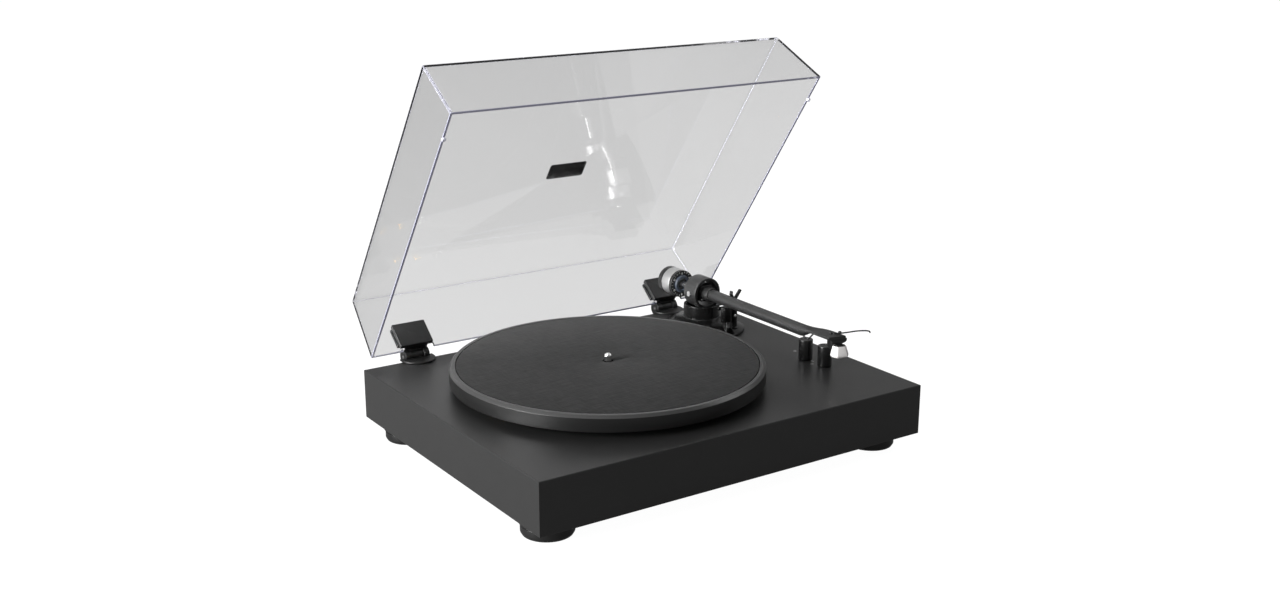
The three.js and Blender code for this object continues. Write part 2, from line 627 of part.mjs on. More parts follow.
// Dust cover and hinges. The cover is made in its own frame, as it lies when it is closed, with x
// as on the deck, y forwards from the back edge of its rim and z up from the rim. The lid group
// lays it over the deck and opens it about the hinge axis.

const pivot = new THREE.Group();
pivot.position.set(0, HINGE_AXIS.y, HINGE_AXIS.z);
pivot.rotation.x = -LID_OPEN;
group.add(pivot);
const lid = new THREE.Group();
lid.position.set(0, LID_CLOSED_RIM.y - HINGE_AXIS.y, LID_CLOSED_RIM.z - HINGE_AXIS.z);
pivot.add(lid);
const LID_X = (WIDTH - LID.width) / 2;

// A box whose walls lean in towards its top. inset is how far each face lies inside the cover's
// outside, and y runs from -depth at the front to 0 at the back.
function taperedBox(inset, z0, z1) {
  const box = new THREE.BoxGeometry(1, 1, 1).translate(0.5, -0.5, 0.5);
  const position = box.attributes.position;
  for (let i = 0; i < position.count; i++) {
    const z = z0 + (z1 - z0) * position.getZ(i);
    const lean = z / LID.height;
    const left = LID_X + LID_TAPER.side * lean + inset;
    const right = WIDTH - LID_X - LID_TAPER.side * lean - inset;
    const front = -LID.depth + LID_TAPER.front * lean + inset;
    const back = -LID_TAPER.back * lean - inset;
    const x = position.getX(i) < 0.5 ? left : right;
    const y = position.getY(i) < -0.5 ? front : back;
    position.setXYZ(i, x, y, z);
  }
  return box;
}

function dustCover() {
  const shell = cut(taperedBox(0, 0, LID.height), taperedBox(LID.sheet, -5, LID.height - LID.sheet));
  const openings = HINGE_X.map((x) =>
    block(x - HINGE_CUTOUT.left, x + HINGE_CUTOUT.right, -8, 3, -1, HINGE_CUTOUT.height));
  return cut(shell, ...openings);
}

// A plain plate on the cover's top, near its front middle.
function badge() {
  return block(191, 233, -170, -150.5, LID.height + 0.1, LID.height + 0.8);
}

// A small clear stop under each side wall's rim keeps the cover off the deck.
function bumper(side) {
  const x = side < 0 ? LID_X + LID.sheet / 2 : WIDTH - LID_X - LID.sheet / 2;
  const stop = turned([[0, -2.2], [1.6, -2.2], [2.2, -1.6], [2.2, -0.1], [0, -0.1]], 20);
  return stop.translate(x, -LID.depth + 30, 0);
}

// A slab outline in the cover's y and z, carried along x from x0 to x1.
function sidewaysSlab(points, x0, x1) {
  const shape = new THREE.Shape(points.map(([y, z]) => new THREE.Vector2(y, z)));
  const geometry = new THREE.ExtrudeGeometry(shape, { depth: x1 - x0, bevelEnabled: false });
  return geometry.rotateY(Math.PI / 2).rotateX(Math.PI / 2).translate(x0, 0, 0);
}

const KNUCKLE = { radius: 6, half: 6.8, pin: 2 };
const axisY = HINGE_AXIS.y - LID_CLOSED_RIM.y;
const axisZ = HINGE_AXIS.z - LID_CLOSED_RIM.z;

// The clamp grips the back wall between two jaws. Its web passes through the cut-out in the wall
// and carries the knuckle that turns on the pin.
function hingeClamp(x) {
  const lean = (z) => -LID_TAPER.back * (z / LID.height);
  const outside = 0.3;
  const inside = -LID.sheet - 0.4;
  const jaw = 4.4;
  const innerJaw = sidewaysSlab([
    [inside + lean(2), 2], [inside + lean(28.5), 28.5], [inside - jaw + lean(28.5), 28.5],
    [inside - jaw + lean(2), 2],
  ], x - 18.5, x + 17);
  const outerJaw = sidewaysSlab([
    [outside + lean(7), 7], [outside + 3 + lean(7), 7], [outside + 3 + lean(28), 28],
    [outside + lean(28), 28],
  ], x - 18.5, x + 17);
  const web = sidewaysSlab([[inside - 4 + lean(2), 2.4], [inside - 4 + lean(12), 12], [0.6, 12], [0.6, 2.4]],
    x - 12, x + 12);
  const neck = sidewaysSlab([[axisY, axisZ - 4], [axisY, axisZ + 5.6], [1, 9], [1, 1.4]],
    x - KNUCKLE.half, x + KNUCKLE.half);
  const knuckle = alongX(disc(KNUCKLE.radius, -KNUCKLE.half, KNUCKLE.half, 24)).translate(x, axisY, axisZ);
  const bore = alongX(disc(KNUCKLE.pin + GAP, -20, 20, 12)).translate(x, axisY, axisZ);
  return cut(join(innerJaw, outerJaw, web, neck, knuckle), bore);
}

// The fixed half: a round-nosed flange on the deck, a leg down the plinth's back and two lugs.
function hingeBase(x) {
  const radius = 17.5;
  const nose = [];
  for (let i = 0; i <= 16; i++) {
    const angle = Math.PI + (Math.PI * i) / 16;
    nose.push([x + radius * Math.cos(angle), DEPTH - 0.5 + radius * Math.sin(angle)]);
  }
  const flange = slab([...nose, [x + radius, DEPTH + 4], [x - radius, DEPTH + 4]], GAP, 2.4);
  const leg = block(x - 14, x + 14, DEPTH + GAP, DEPTH + 4, -36, 2.4);
  const lug = (from, to) => join(
    alongX(disc(7.4, from, to, 24)).translate(x, HINGE_AXIS.y, HINGE_AXIS.z),
    block(x + from, x + to, DEPTH + GAP, HINGE_AXIS.y + 3, -16, HINGE_AXIS.z));
  const corner = block(x - 30, x + 30, DEPTH - 20, DEPTH + GAP, -40, GAP);
  const room = alongX(disc(KNUCKLE.radius + 0.6, -KNUCKLE.half - 0.3, KNUCKLE.half + 0.3, 24))
    .translate(x, HINGE_AXIS.y, HINGE_AXIS.z);
  const bore = alongX(disc(KNUCKLE.pin + GAP, -20, 20, 12)).translate(x, HINGE_AXIS.y, HINGE_AXIS.z);
  return cut(join(flange, leg, lug(-13, -KNUCKLE.half - 0.3), lug(KNUCKLE.half + 0.3, 13)), corner, room, bore);
}

function hingePin(x) {
  return alongX(disc(KNUCKLE.pin, -13, 13, 20)).translate(x, HINGE_AXIS.y, HINGE_AXIS.z);
}

add('dust_cover', dustCover(), 'clear', lid);
add('badge', badge(), 'blackPlastic', lid);
add('bumper_left', bumper(-1), 'clear', lid);
add('bumper_right', bumper(1), 'clear', lid);
HINGE_X.forEach((x, i) => {
  const side = i === 0 ? 'left' : 'right';
  add(`hinge_clamp_${side}`, hingeClamp(x), 'blackPlastic', lid);
  add(`hinge_base_${side}`, hingeBase(x), 'blackPlastic');
  add(`hinge_pin_${side}`, hingePin(x), 'steel');
});

// The origin goes to the middle of the footprint, on the surface the feet stand on.
const whole = new THREE.Box3().setFromObject(group, true);
const middle = whole.getCenter(new THREE.Vector3());
group.position.set(-middle.x, -middle.y, -whole.min.z);
group.updateMatrixWorld(true);

export default group;
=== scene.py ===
# %% [markdown]
# # A record player under an open clear cover
#
# A belt-drive record player is a black plinth, a heavy platter with a felt mat, a straight tonearm in a
# gimbal bearing and a clear cover on two hinges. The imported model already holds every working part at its
# true size, so this lesson never moves or resizes one of them. It dresses them: parts that are flat or
# hidden keep their own mesh and get a good material, and parts that are round, or that the eye rests on,
# are made again as fine surfaces in exactly the same place.

# %% Load the frame
import json
import math

import bmesh
import bpy
import numpy as np
from mathutils import Matrix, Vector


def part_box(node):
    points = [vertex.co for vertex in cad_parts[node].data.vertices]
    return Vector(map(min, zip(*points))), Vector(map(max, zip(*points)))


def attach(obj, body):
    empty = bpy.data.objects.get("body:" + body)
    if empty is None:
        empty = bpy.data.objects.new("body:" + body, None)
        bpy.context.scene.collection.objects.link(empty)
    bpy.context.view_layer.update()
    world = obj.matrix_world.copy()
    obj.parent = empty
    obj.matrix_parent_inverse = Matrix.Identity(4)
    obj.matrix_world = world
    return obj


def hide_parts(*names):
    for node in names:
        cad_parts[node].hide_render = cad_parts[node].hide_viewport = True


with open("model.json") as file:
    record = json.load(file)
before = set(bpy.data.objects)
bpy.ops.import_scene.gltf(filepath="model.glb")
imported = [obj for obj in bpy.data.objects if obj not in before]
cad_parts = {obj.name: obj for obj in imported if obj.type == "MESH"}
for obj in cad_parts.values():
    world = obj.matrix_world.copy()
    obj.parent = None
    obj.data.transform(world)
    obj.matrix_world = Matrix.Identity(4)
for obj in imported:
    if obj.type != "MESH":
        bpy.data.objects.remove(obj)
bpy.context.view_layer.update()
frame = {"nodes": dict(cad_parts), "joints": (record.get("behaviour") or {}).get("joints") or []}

# %% [markdown]
# ## The deck's own coordinates
#
# A maker measures a record player from its deck: x from the left side, y from the front and z up from the
# deck's top, in millimetres. Two small helpers go between those and the metres of the frame, and a third
# gives the place of a joint. Every size below is then a number that could be read off a drawing.

# %% Helpers for places
plinth_low, plinth_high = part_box("plinth")
CORNER = np.array([plinth_low[0], plinth_low[1], plinth_high[2]])   # front left corner of the deck's top


def placed(points):
    """Deck millimetres to frame metres: a thousandth of each number, from the deck's corner."""
    return np.asarray(points, float) / 1000 + CORNER


def deck_box(node_name):
    """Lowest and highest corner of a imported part, in deck millimetres."""
    low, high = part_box(node_name)
    return (np.array(low) - CORNER) * 1000, (np.array(high) - CORNER) * 1000


def joint_place(name):
    """Where a joint turns, in deck millimetres."""
    joint = next(j for j in frame["joints"] if j["name"] == name)
    return (np.array(joint["pos_m"]) - CORNER) * 1000


WIDTH, DEPTH = deck_box("plinth")[1][:2]
ARM = joint_place("arm_swing")
SPINDLE = joint_place("platter_spin")
print("deck", round(WIDTH), "x", round(DEPTH), "mm; arm pivot", ARM.round(1), "spindle", SPINDLE.round(1))

# %% [markdown]
# ## The camera
#
# The object is looked at from the front left and a little above. The camera's three axes are written as the
# columns of its matrix: to the right, up, and back towards the viewer.

# %% Camera
camera_data = bpy.data.cameras.new("camera")
camera_data.lens = 42.52
camera_data.sensor_width = 36
camera = bpy.data.objects.new("camera", camera_data)
camera_place = (-0.7730, -1.16505, 0.5418)
to_right = (0.8271, -0.5621, 0.0020)
to_top = (0.1551, 0.2317, 0.9603)
to_viewer = (-0.5402, -0.7940, 0.2788)
camera.matrix_world = Matrix(
    [[to_right[i], to_top[i], to_viewer[i], camera_place[i]] for i in range(3)] + [[0, 0, 0, 1]]
)
bpy.context.scene.collection.objects.link(camera)
bpy.context.scene.camera = camera
print("camera at", camera_place)

# %% [markdown]
# ## Light and floor
#
# The studio is white all round, with one large low softbox at the left and two weak ones above. Black
# things only show by what they mirror, so the room that they mirror is kept at a quiet grey. What is seen
# straight past the record player is white, and what is seen through the clear cover is painted a pale grey:
# painted shade in the backdrop behind the sheet, which is how such a sheet reads against paper. The floor is a
# wide plane that fades into that white.

# %% Softboxes
view_settings = bpy.context.scene.view_settings
view_settings.view_transform = "Standard"


def softbox(name, place, aim, size, watts):
    """A square area lamp at place, turned so that its light leaves towards aim."""
    lamp = bpy.data.lights.new(name, "AREA")
    lamp.size = size
    lamp.energy = watts
    box = bpy.data.objects.new(name, lamp)
    box.matrix_world = facing(place, aim)
    bpy.context.scene.collection.objects.link(box)
    return box


def facing(place, aim):
    """A matrix at place whose z axis points away from aim, and whose x axis is level."""
    back = np.subtract(place, aim) / np.linalg.norm(np.subtract(place, aim))
    right = np.cross((0, 0, 1), back)
    right /= np.linalg.norm(right)
    up = np.cross(back, right)
    rows = [[right[i], up[i], back[i], place[i]] for i in range(3)]
    return Matrix(rows + [[0, 0, 0, 1]])


softbox("softbox_left", (-2.3, 0.1, 0.60), (0, 0, 0.05), 1.3, 175)
softbox("softbox_top", (-0.3, 0.6, 2.4), (0, 0, 0.05), 1.4, 14)
softbox("softbox_right", (1.9, -0.6, 1.5), (0, 0, 0.1), 0.9, 7)
print("three softboxes")

# %% World and floor
ROOM_GREY = 0.32          # what the black surfaces mirror
# Painted shade: the backdrop seen through the clear cover is made darker than the white seen directly.
SEEN_THROUGH = 0.67       # what is seen through the clear cover
WHITE = 1.08              # what is seen directly


def by_ray(tree, direct, through, other):
    """A value that depends on the ray: straight from the camera, once through clear plastic, or neither."""
    path = tree.nodes.new("ShaderNodeLightPath")
    passed = tree.nodes.new("ShaderNodeMath")
    passed.operation = "GREATER_THAN"
    passed.inputs[1].default_value = 0.5
    glass = tree.nodes.new("ShaderNodeMix")
    glass.inputs["A"].default_value = other
    glass.inputs["B"].default_value = through
    tree.links.new(path.outputs["Transmission Depth"], passed.inputs[0])
    tree.links.new(passed.outputs[0], glass.inputs["Factor"])
    seen = tree.nodes.new("ShaderNodeMix")
    seen.inputs["B"].default_value = direct
    tree.links.new(path.outputs["Is Camera Ray"], seen.inputs["Factor"])
    tree.links.new(glass.outputs["Result"], seen.inputs["A"])
    return seen.outputs["Result"]


world = bpy.data.worlds.new("studio")
bpy.context.scene.world = world
world.use_nodes = True
background = world.node_tree.nodes["Background"]
background.inputs["Color"].default_value = (1, 1, 1, 1)
world.node_tree.links.new(
    by_ray(world.node_tree, WHITE, SEEN_THROUGH, ROOM_GREY), background.inputs["Strength"]
)

FLOOR_REACH = 14.0        # metres each way
FLOOR_SHADE = 0.10        # how much of the floor's white comes from the lamps, and so takes shadows
floor_mesh = bpy.data.meshes.new("floor")
corners = [(-1, -1), (1, -1), (1, 1), (-1, 1)]
floor_mesh.from_pydata([(x * FLOOR_REACH, y * FLOOR_REACH, 0) for x, y in corners], [], [(0, 1, 2, 3)])
floor = bpy.data.objects.new("floor", floor_mesh)
bpy.context.scene.collection.objects.link(floor)
floor_paint = bpy.data.materials.new("floor_white")
floor_paint.use_nodes = True
floor_shader = floor_paint.node_tree.nodes["Principled BSDF"]
floor_shader.inputs["Base Color"].default_value = (FLOOR_SHADE, FLOOR_SHADE, FLOOR_SHADE, 1)
floor_shader.inputs["Roughness"].default_value = 1.0
floor_shader.inputs["Specular IOR Level"].default_value = 0.0
floor_shader.inputs["Emission Color"].default_value = (1, 1, 1, 1)
floor_paint.node_tree.links.new(
    by_ray(floor_paint.node_tree, WHITE - FLOOR_SHADE, SEEN_THROUGH - FLOOR_SHADE, 0.12),
    floor_shader.inputs["Emission Strength"],
)
floor_mesh.materials.append(floor_paint)
print("world and floor are made")

# %% [markdown]
# ## Shapes from a few curves
#
# Almost every part of a record player is turned on a lathe, cut from a flat outline, or drawn along a line.
# Each of those is a grid of points with two parameters. The helpers work the grid out as one numpy array,
# and one more helper makes the mesh, closes its poles and turns its faces outwards.

# %% Outlines with rounded corners
def rounded(corners, radius=0.3, closed=False, steps=4):
    """An outline whose corners are arcs. At each corner the arc touches both edges, its centre lies on the
    line that halves the corner's angle, and a corner may bring its own radius as a third number."""
    points = [np.array(c[:2], float) for c in corners]
    radii = [c[2] if len(c) > 2 else radius for c in corners]
    result = []
    for i, here in enumerate(points):
        if not closed and i in (0, len(points) - 1):
            result.append(here[None])
            continue
        before = points[i - 1] - here
        after = points[(i + 1) % len(points)] - here
        reach = 0.48 * min(np.linalg.norm(before), np.linalg.norm(after))
        before = before / np.linalg.norm(before)
        after = after / np.linalg.norm(after)
        half = math.acos(np.clip(before @ after, -1, 1)) / 2
        if radii[i] <= 0 or half < 0.02 or half > math.pi / 2 - 0.02:
            result.append(here[None])
            continue
        touch = min(radii[i] / math.tan(half), reach)
        real = touch * math.tan(half)
        towards = (before + after) / np.linalg.norm(before + after)
        centre = here + towards * real / math.sin(half)
        start = here + before * touch - centre
        end = here + after * touch - centre
        sweep = math.pi - 2 * half
        share = np.linspace(0, 1, steps + 1)[:, None]
        arc = (np.sin((1 - share) * sweep) * start + np.sin(share * sweep) * end) / math.sin(sweep)
        result.append(centre + arc)
    return np.concatenate(result)


def circle(radius, count, centre=(0, 0)):
    """Points (radius cos a, radius sin a) round a centre."""
    angle = np.arange(count) * 2 * np.pi / count
    return np.stack([centre[0] + radius * np.cos(angle), centre[1] + radius * np.sin(angle)], axis=1)


print("a square with round corners has", len(rounded([(0, 0), (1, 0), (1, 1), (0, 1)], 0.1, True)), "points")


# %% Grids of points and their faces
def grid_faces(rows, columns, wrap_rows=False, wrap_columns=True):
    """Four-sided faces of a grid that is numbered row by row."""
    i, j = np.meshgrid(np.arange(rows if wrap_rows else rows - 1),
                       np.arange(columns if wrap_columns else columns - 1), indexing="ij")
    i, j = i.ravel(), j.ravel()
    up, over = (i + 1) % rows, (j + 1) % columns
    return np.stack([i * columns + j, i * columns + over, up * columns + over, up * columns + j], axis=1)


def turned(profile, centre=(0, 0, 0), axis="z", segments=96, closed=False):
    """A lathe surface: the profile's (radius, height) goes round as (radius cos a, radius sin a, height).
    axis says which way the height runs."""
    profile = np.asarray(profile, float)
    angle = np.arange(segments) * 2 * np.pi / segments
    across = profile[:, :1] * np.cos(angle)
    along = profile[:, :1] * np.sin(angle)
    height = profile[:, 1:] + 0 * angle
    order = {"z": (across, along, height), "y": (across, height, along), "x": (height, across, along)}
    points = np.stack(order[axis], axis=-1).reshape(-1, 3) + centre
    return points, grid_faces(len(profile), segments, wrap_rows=closed).tolist()


def slab(outline, low, high, axis="z", edge=0.3, steps=3):
    """A flat outline with thickness and rounded edges: rings of the outline, drawn in by
    edge (1 - sin a) at a height of edge (1 - cos a) from each face, and a flat face at each end."""
    outline = np.asarray(outline, float)
    ahead = np.roll(outline, -1, axis=0) - outline
    normal = np.stack([ahead[:, 1], -ahead[:, 0]], axis=1)
    normal /= np.linalg.norm(normal, axis=1)[:, None]
    if (outline[:, 0] * np.roll(outline[:, 1], -1) - outline[:, 1] * np.roll(outline[:, 0], -1)).sum() < 0:
        normal = -normal
    previous = np.roll(normal, 1, axis=0)
    outward = (normal + previous) / (1 + (normal * previous).sum(1))[:, None]
    turn = np.linspace(0, np.pi / 2, steps + 1)
    inset = np.concatenate([edge * (1 - np.sin(turn)), edge * (1 - np.sin(turn[::-1]))])
    height = np.concatenate([low + edge * (1 - np.cos(turn)), high - edge * (1 - np.cos(turn[::-1]))])
    flat = outline[None] - inset[:, None, None] * outward[None]
    level = np.repeat(height[:, None], len(outline), axis=1)
    first, second = flat[..., 0], flat[..., 1]
    order = {"z": (first, second, level), "x": (level, first, second), "y": (first, level, second)}
    points = np.stack(order[axis], axis=-1).reshape(-1, 3)
    count = len(outline)
    faces = grid_faces(len(height), count).tolist()
    faces.append(list(range(count)))
    faces.append(list(range((len(height) - 1) * count, len(height) * count)))
    return points, faces


def box_outline(x0, x1, y0, y1, radius=0.5, steps=4):
    """A rectangle with round corners."""
    return rounded([(x0, y0), (x1, y0), (x1, y1), (x0, y1)], radius, closed=True, steps=steps)


def drawn(path, radius, sides=16, spread=8):
    """A round bar along a smooth line through path. The line is a Catmull-Rom curve, and each ring of
    points lies across it, turned as little as possible from the ring before."""
    path = np.asarray(path, float)
    padded = np.concatenate([[2 * path[0] - path[1]], path, [2 * path[-1] - path[-2]]])
    t = np.linspace(0, 1, spread, endpoint=False)[:, None]
    line = [0.5 * (2 * b + (c - a) * t + (2 * a - 5 * b + 4 * c - d) * t**2 + (3 * b - a - 3 * c + d) * t**3)
            for a, b, c, d in zip(padded, padded[1:], padded[2:], padded[3:])]
    line = np.concatenate(line + [path[-1:]])
    ahead = np.gradient(line, axis=0)
    ahead /= np.linalg.norm(ahead, axis=1)[:, None]
    side = np.cross(ahead[0], (0.1, 0.2, 1.0))
    rings = []
    reach = np.broadcast_to(np.asarray(radius, float), (len(line),))
    angle = np.arange(sides) * 2 * np.pi / sides
    for point, direction, size in zip(line, ahead, reach):
        side = side - direction * (side @ direction)
        side = side / np.linalg.norm(side)
        other = np.cross(direction, side)
        rings.append(point + size * (np.outer(np.cos(angle), side) + np.outer(np.sin(angle), other)))
    points = np.concatenate([line[:1], *rings, line[-1:]])
    faces = (grid_faces(len(line), sides) + 1).tolist()
    last = len(points) - 1
    over = (np.arange(sides) + 1) % sides
    faces += [[0, 1 + int(b), 1 + int(a)] for a, b in enumerate(over)]
    faces += [[last, last - sides + int(a), last - sides + int(b)] for a, b in enumerate(over)]
    return points, faces


def capped_grid(rows, sides):
    """The faces of a grid of rings, and one face that closes each end."""
    ends = [list(range(sides)), list(range((rows - 1) * sides, rows * sides))]
    return grid_faces(rows, sides).tolist() + ends


def together(*shapes):
    """Several shapes as one: their points in a row, and each one's faces counted on from the last."""
    points, faces = [], []
    for more_points, more_faces in shapes:
        start = sum(len(p) for p in points)
        points.append(more_points)
        faces += [[start + index for index in face] for face in more_faces]
    return np.concatenate(points), faces


print("a turned disc has", len(turned([(0, 0), (1, 0), (1, 1), (0, 1)])[1]), "faces before its poles close")


# %% Make a piece
def clean_mesh(name, shape, to_frame, dissolve=True):
    """A mesh from a shape: doubles merged, poles closed if dissolve is on, and faces outwards."""
    points, faces = shape
    mesh = bpy.data.meshes.new(name)
    mesh.from_pydata(to_frame(points).tolist(), [], faces)
    work = bmesh.new()
    work.from_mesh(mesh)
    bmesh.ops.remove_doubles(work, verts=work.verts, dist=1e-6)
    if dissolve:
        bmesh.ops.dissolve_degenerate(work, edges=work.edges, dist=1e-7)
    bmesh.ops.recalc_face_normals(work, faces=work.faces)
    work.to_mesh(mesh)
    work.free()
    return mesh


def piece(name, shape, finish, body, replaces=(), to_frame=placed, sharp=35):
    """An object from a shape. It is smooth except where two faces meet at more than sharp degrees."""
    mesh = clean_mesh(name, shape, to_frame)
    mesh.shade_smooth()
    mesh.set_sharp_from_angle(angle=math.radians(sharp))
    mesh.materials.append(finish)
    made = bpy.data.objects.new(name, mesh)
    bpy.context.scene.collection.objects.link(made)
    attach(made, body)
    if replaces:
        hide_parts(*replaces)
    print(f"{name}: {len(mesh.polygons)} faces on {body}")
    return made


def top_finish(target, finish, limit=0.7):
    """Gives a second finish to the faces whose normal rises by more than limit. In both uses that finish is paler:
    painted light from above.
    """
    target.data.materials.append(finish)
    rise = np.array([polygon.normal[2] for polygon in target.data.polygons])
    target.data.polygons.foreach_set("material_index", (rise > limit).astype(int).tolist())


# %% [markdown]
# ## Finishes
#
# A black object is many blacks. Vinyl, moulded plastic, painted metal, rubber and felt differ in how wide
# they spread a highlight and how fine their grain is, so each finish is one shader whose colour, roughness
# and bump follow a fine noise in the object's own coordinates. Scales are in grains per metre.

# %% One grained finish
def add_node(tree, kind, **settings):
    """A shader node with its inputs set by name."""
    made = tree.nodes.new(kind)
    for key, value in settings.items():
        made.inputs[key.replace("_", " ")].default_value = value
    return made


def ramp(tree, source, low, high):
    """A value stretched from 0..1 to low..high."""
    stretch = add_node(tree, "ShaderNodeMapRange", To_Min=low, To_Max=high)
    tree.links.new(source, stretch.inputs["Value"])
    return stretch.outputs["Result"]


def noise(tree, scale, stretch=(1, 1, 1), detail=3.0, roughness=0.55):
    """Fractal noise on object coordinates, drawn out along an axis where stretch is small."""
    place = tree.nodes.new("ShaderNodeTexCoord")
    mapping = tree.nodes.new("ShaderNodeMapping")
    mapping.inputs["Scale"].default_value = stretch
    texture = add_node(tree, "ShaderNodeTexNoise", Scale=scale, Detail=detail, Roughness=roughness)
    tree.links.new(place.outputs["Object"], mapping.inputs["Vector"])
    tree.links.new(mapping.outputs["Vector"], texture.inputs["Vector"])
    return texture.outputs["Fac"]


def grey(value, tint=0.0):
    """A grey with a little more blue by tint."""
    return (value, value, value * (1 + tint), 1)


def finish(name, colour, rough, metal=0.0, grain=1500, depth=0.02, vary=0.15, rough_vary=0.06,
           stretch=(1, 1, 1), shine=0.5, coat=0.0):
    """A grained surface. depth is the bump in millimetres, and vary the share by which the colour moves."""
    made = bpy.data.materials.new(name)
    made.use_nodes = True
    tree = made.node_tree
    shader = tree.nodes["Principled BSDF"]
    shader.inputs["Metallic"].default_value = metal
    shader.inputs["Specular IOR Level"].default_value = shine
    shader.inputs["Coat Weight"].default_value = coat
    fine = noise(tree, grain, stretch)
    blotch = noise(tree, grain / 40, detail=2.0)
    both = tree.nodes.new("ShaderNodeMath")
    both.operation = "MULTIPLY_ADD"
    both.inputs[1].default_value = 0.35
    tree.links.new(blotch, both.inputs[0])
    tree.links.new(ramp(tree, fine, 0, 0.65), both.inputs[2])
    mix = tree.nodes.new("ShaderNodeMix")
    mix.data_type = "RGBA"
    mix.inputs[6].default_value = (*[c * (1 - vary) for c in colour[:3]], 1)
    mix.inputs[7].default_value = (*[min(c * (1 + vary), 1) for c in colour[:3]], 1)
    tree.links.new(both.outputs[0], mix.inputs[0])
    tree.links.new(mix.outputs[2], shader.inputs["Base Color"])
    tree.links.new(ramp(tree, fine, rough - rough_vary, rough + rough_vary), shader.inputs["Roughness"])
    bump = add_node(tree, "ShaderNodeBump", Strength=1.0, Distance=depth / 1000)
    tree.links.new(fine, bump.inputs["Height"])
    tree.links.new(bump.outputs["Normal"], shader.inputs["Normal"])
    return made


vinyl = finish("plinth_vinyl", grey(0.013), 0.35, grain=2300, depth=0.025, vary=0.3, shine=0.50)
moulded = finish("moulded_black", grey(0.007), 0.30, grain=1800, depth=0.008)
hinge_plastic = finish("hinge_black", grey(0.006), 0.34, grain=1600, depth=0.010, shine=0.32)
knob_plastic = finish("knob_black", grey(0.004), 0.26, grain=1500, depth=0.003, rough_vary=0.03)
# Knob tops: a rougher satin finish, and a paler colour that is painted light from above.
knob_top_painted_light = finish("knob_top_painted_light", grey(0.012), 0.45, grain=1500, depth=0.01)
platter_coat = finish("platter_coat", grey(0.006), 0.34, grain=1900, depth=0.006, shine=0.35)
# The paler colour of the platter's up-facing faces is painted light from above; their higher shine is the finish.
platter_top_painted_light = finish("platter_top_painted_light", grey(0.026), 0.34, grain=1900, depth=0.006, shine=0.55)
arm_paint = finish("arm_paint", grey(0.012), 0.36, grain=2600, depth=0.010)
base_plastic = finish("arm_base_plastic", grey(0.004), 0.20, grain=1500, depth=0.004, rough_vary=0.04, shine=0.3)
rubber = finish("rubber", grey(0.012), 0.80, grain=1200, depth=0.02)
grey_plastic = finish("grey_plastic", grey(0.11), 0.55, grain=1400, depth=0.02)
steel = finish("turned_steel", grey(0.72), 0.22, metal=1.0, grain=900, depth=0.002, stretch=(1, 1, 6))
chrome = finish("chrome", grey(0.85), 0.08, metal=1.0, grain=600, depth=0.0008, vary=0.03, rough_vary=0.02)
cast = finish("cast_aluminium", grey(0.50), 0.48, metal=1.0, grain=1300, depth=0.03)
brass = finish("turned_brass", (0.66, 0.47, 0.18, 1), 0.28, metal=1.0, grain=900, depth=0.003)
gold = finish("gold_plate", (0.85, 0.60, 0.20, 1), 0.2, metal=1.0, grain=700, depth=0.001)
board = finish("circuit_board_green", (0.015, 0.10, 0.04, 1), 0.4, grain=500, depth=0.01)
ink = finish("pale_ink", grey(0.80), 0.6, grain=900, depth=0.002, vary=0.05)
white_ring = finish("white_insulator", grey(0.7), 0.4, grain=900, depth=0.003, vary=0.04)
red_ring = finish("red_insulator", (0.45, 0.02, 0.02, 1), 0.4, grain=900, depth=0.003, vary=0.06)
print("grained finishes:", len(bpy.data.materials))


# %% [markdown]
# ## Felt and clear plastic
#
# Felt is a mat of short fibres. Most lie one way, where the roller pressed them, and some cross, so its
# colour is two long streaked noises laid over each other, and sheen lifts its edges. The cover is clear
# acrylic: true refraction bends what lies behind its corners, and lamps shine straight through it. Its sawn
# edges are a cloudy pale violet, whose paleness is painted light carried along the sheet, and its bends a
# cloudy grey that is a painted highlight.

# %% Felt
def felt():
    """Streaks along x and across it, mixed 2 to 1, with a bump from the same fibres."""
    made = bpy.data.materials.new("mat_felt")
    made.use_nodes = True
    tree = made.node_tree
    shader = tree.nodes["Principled BSDF"]
    shader.inputs["Roughness"].default_value = 0.95
    shader.inputs["Specular IOR Level"].default_value = 0.15
    shader.inputs["Sheen Weight"].default_value = 0.03
    shader.inputs["Sheen Roughness"].default_value = 0.5
    along = noise(tree, 620, (0.07, 1, 1), detail=5.0, roughness=0.75)
    across = noise(tree, 520, (1, 0.12, 1), detail=5.0, roughness=0.75)
    fibres = tree.nodes.new("ShaderNodeMath")
    fibres.operation = "MULTIPLY_ADD"
    fibres.inputs[1].default_value = 0.34
    tree.links.new(across, fibres.inputs[0])
    tree.links.new(ramp(tree, along, 0, 0.66), fibres.inputs[2])
    colours = tree.nodes.new("ShaderNodeValToRGB")
    colours.color_ramp.elements[0].position = 0.38
    colours.color_ramp.elements[0].color = grey(0.003)
    colours.color_ramp.elements[1].position = 0.62
    colours.color_ramp.elements[1].color = grey(0.020)
    tree.links.new(fibres.outputs[0], colours.inputs[0])
    tree.links.new(colours.outputs[0], shader.inputs["Base Color"])
    bump = add_node(tree, "ShaderNodeBump", Strength=1.0, Distance=0.00012)
    tree.links.new(fibres.outputs[0], bump.inputs["Height"])
    tree.links.new(bump.outputs["Normal"], shader.inputs["Normal"])
    return made


mat_felt = felt()
print("felt is made")


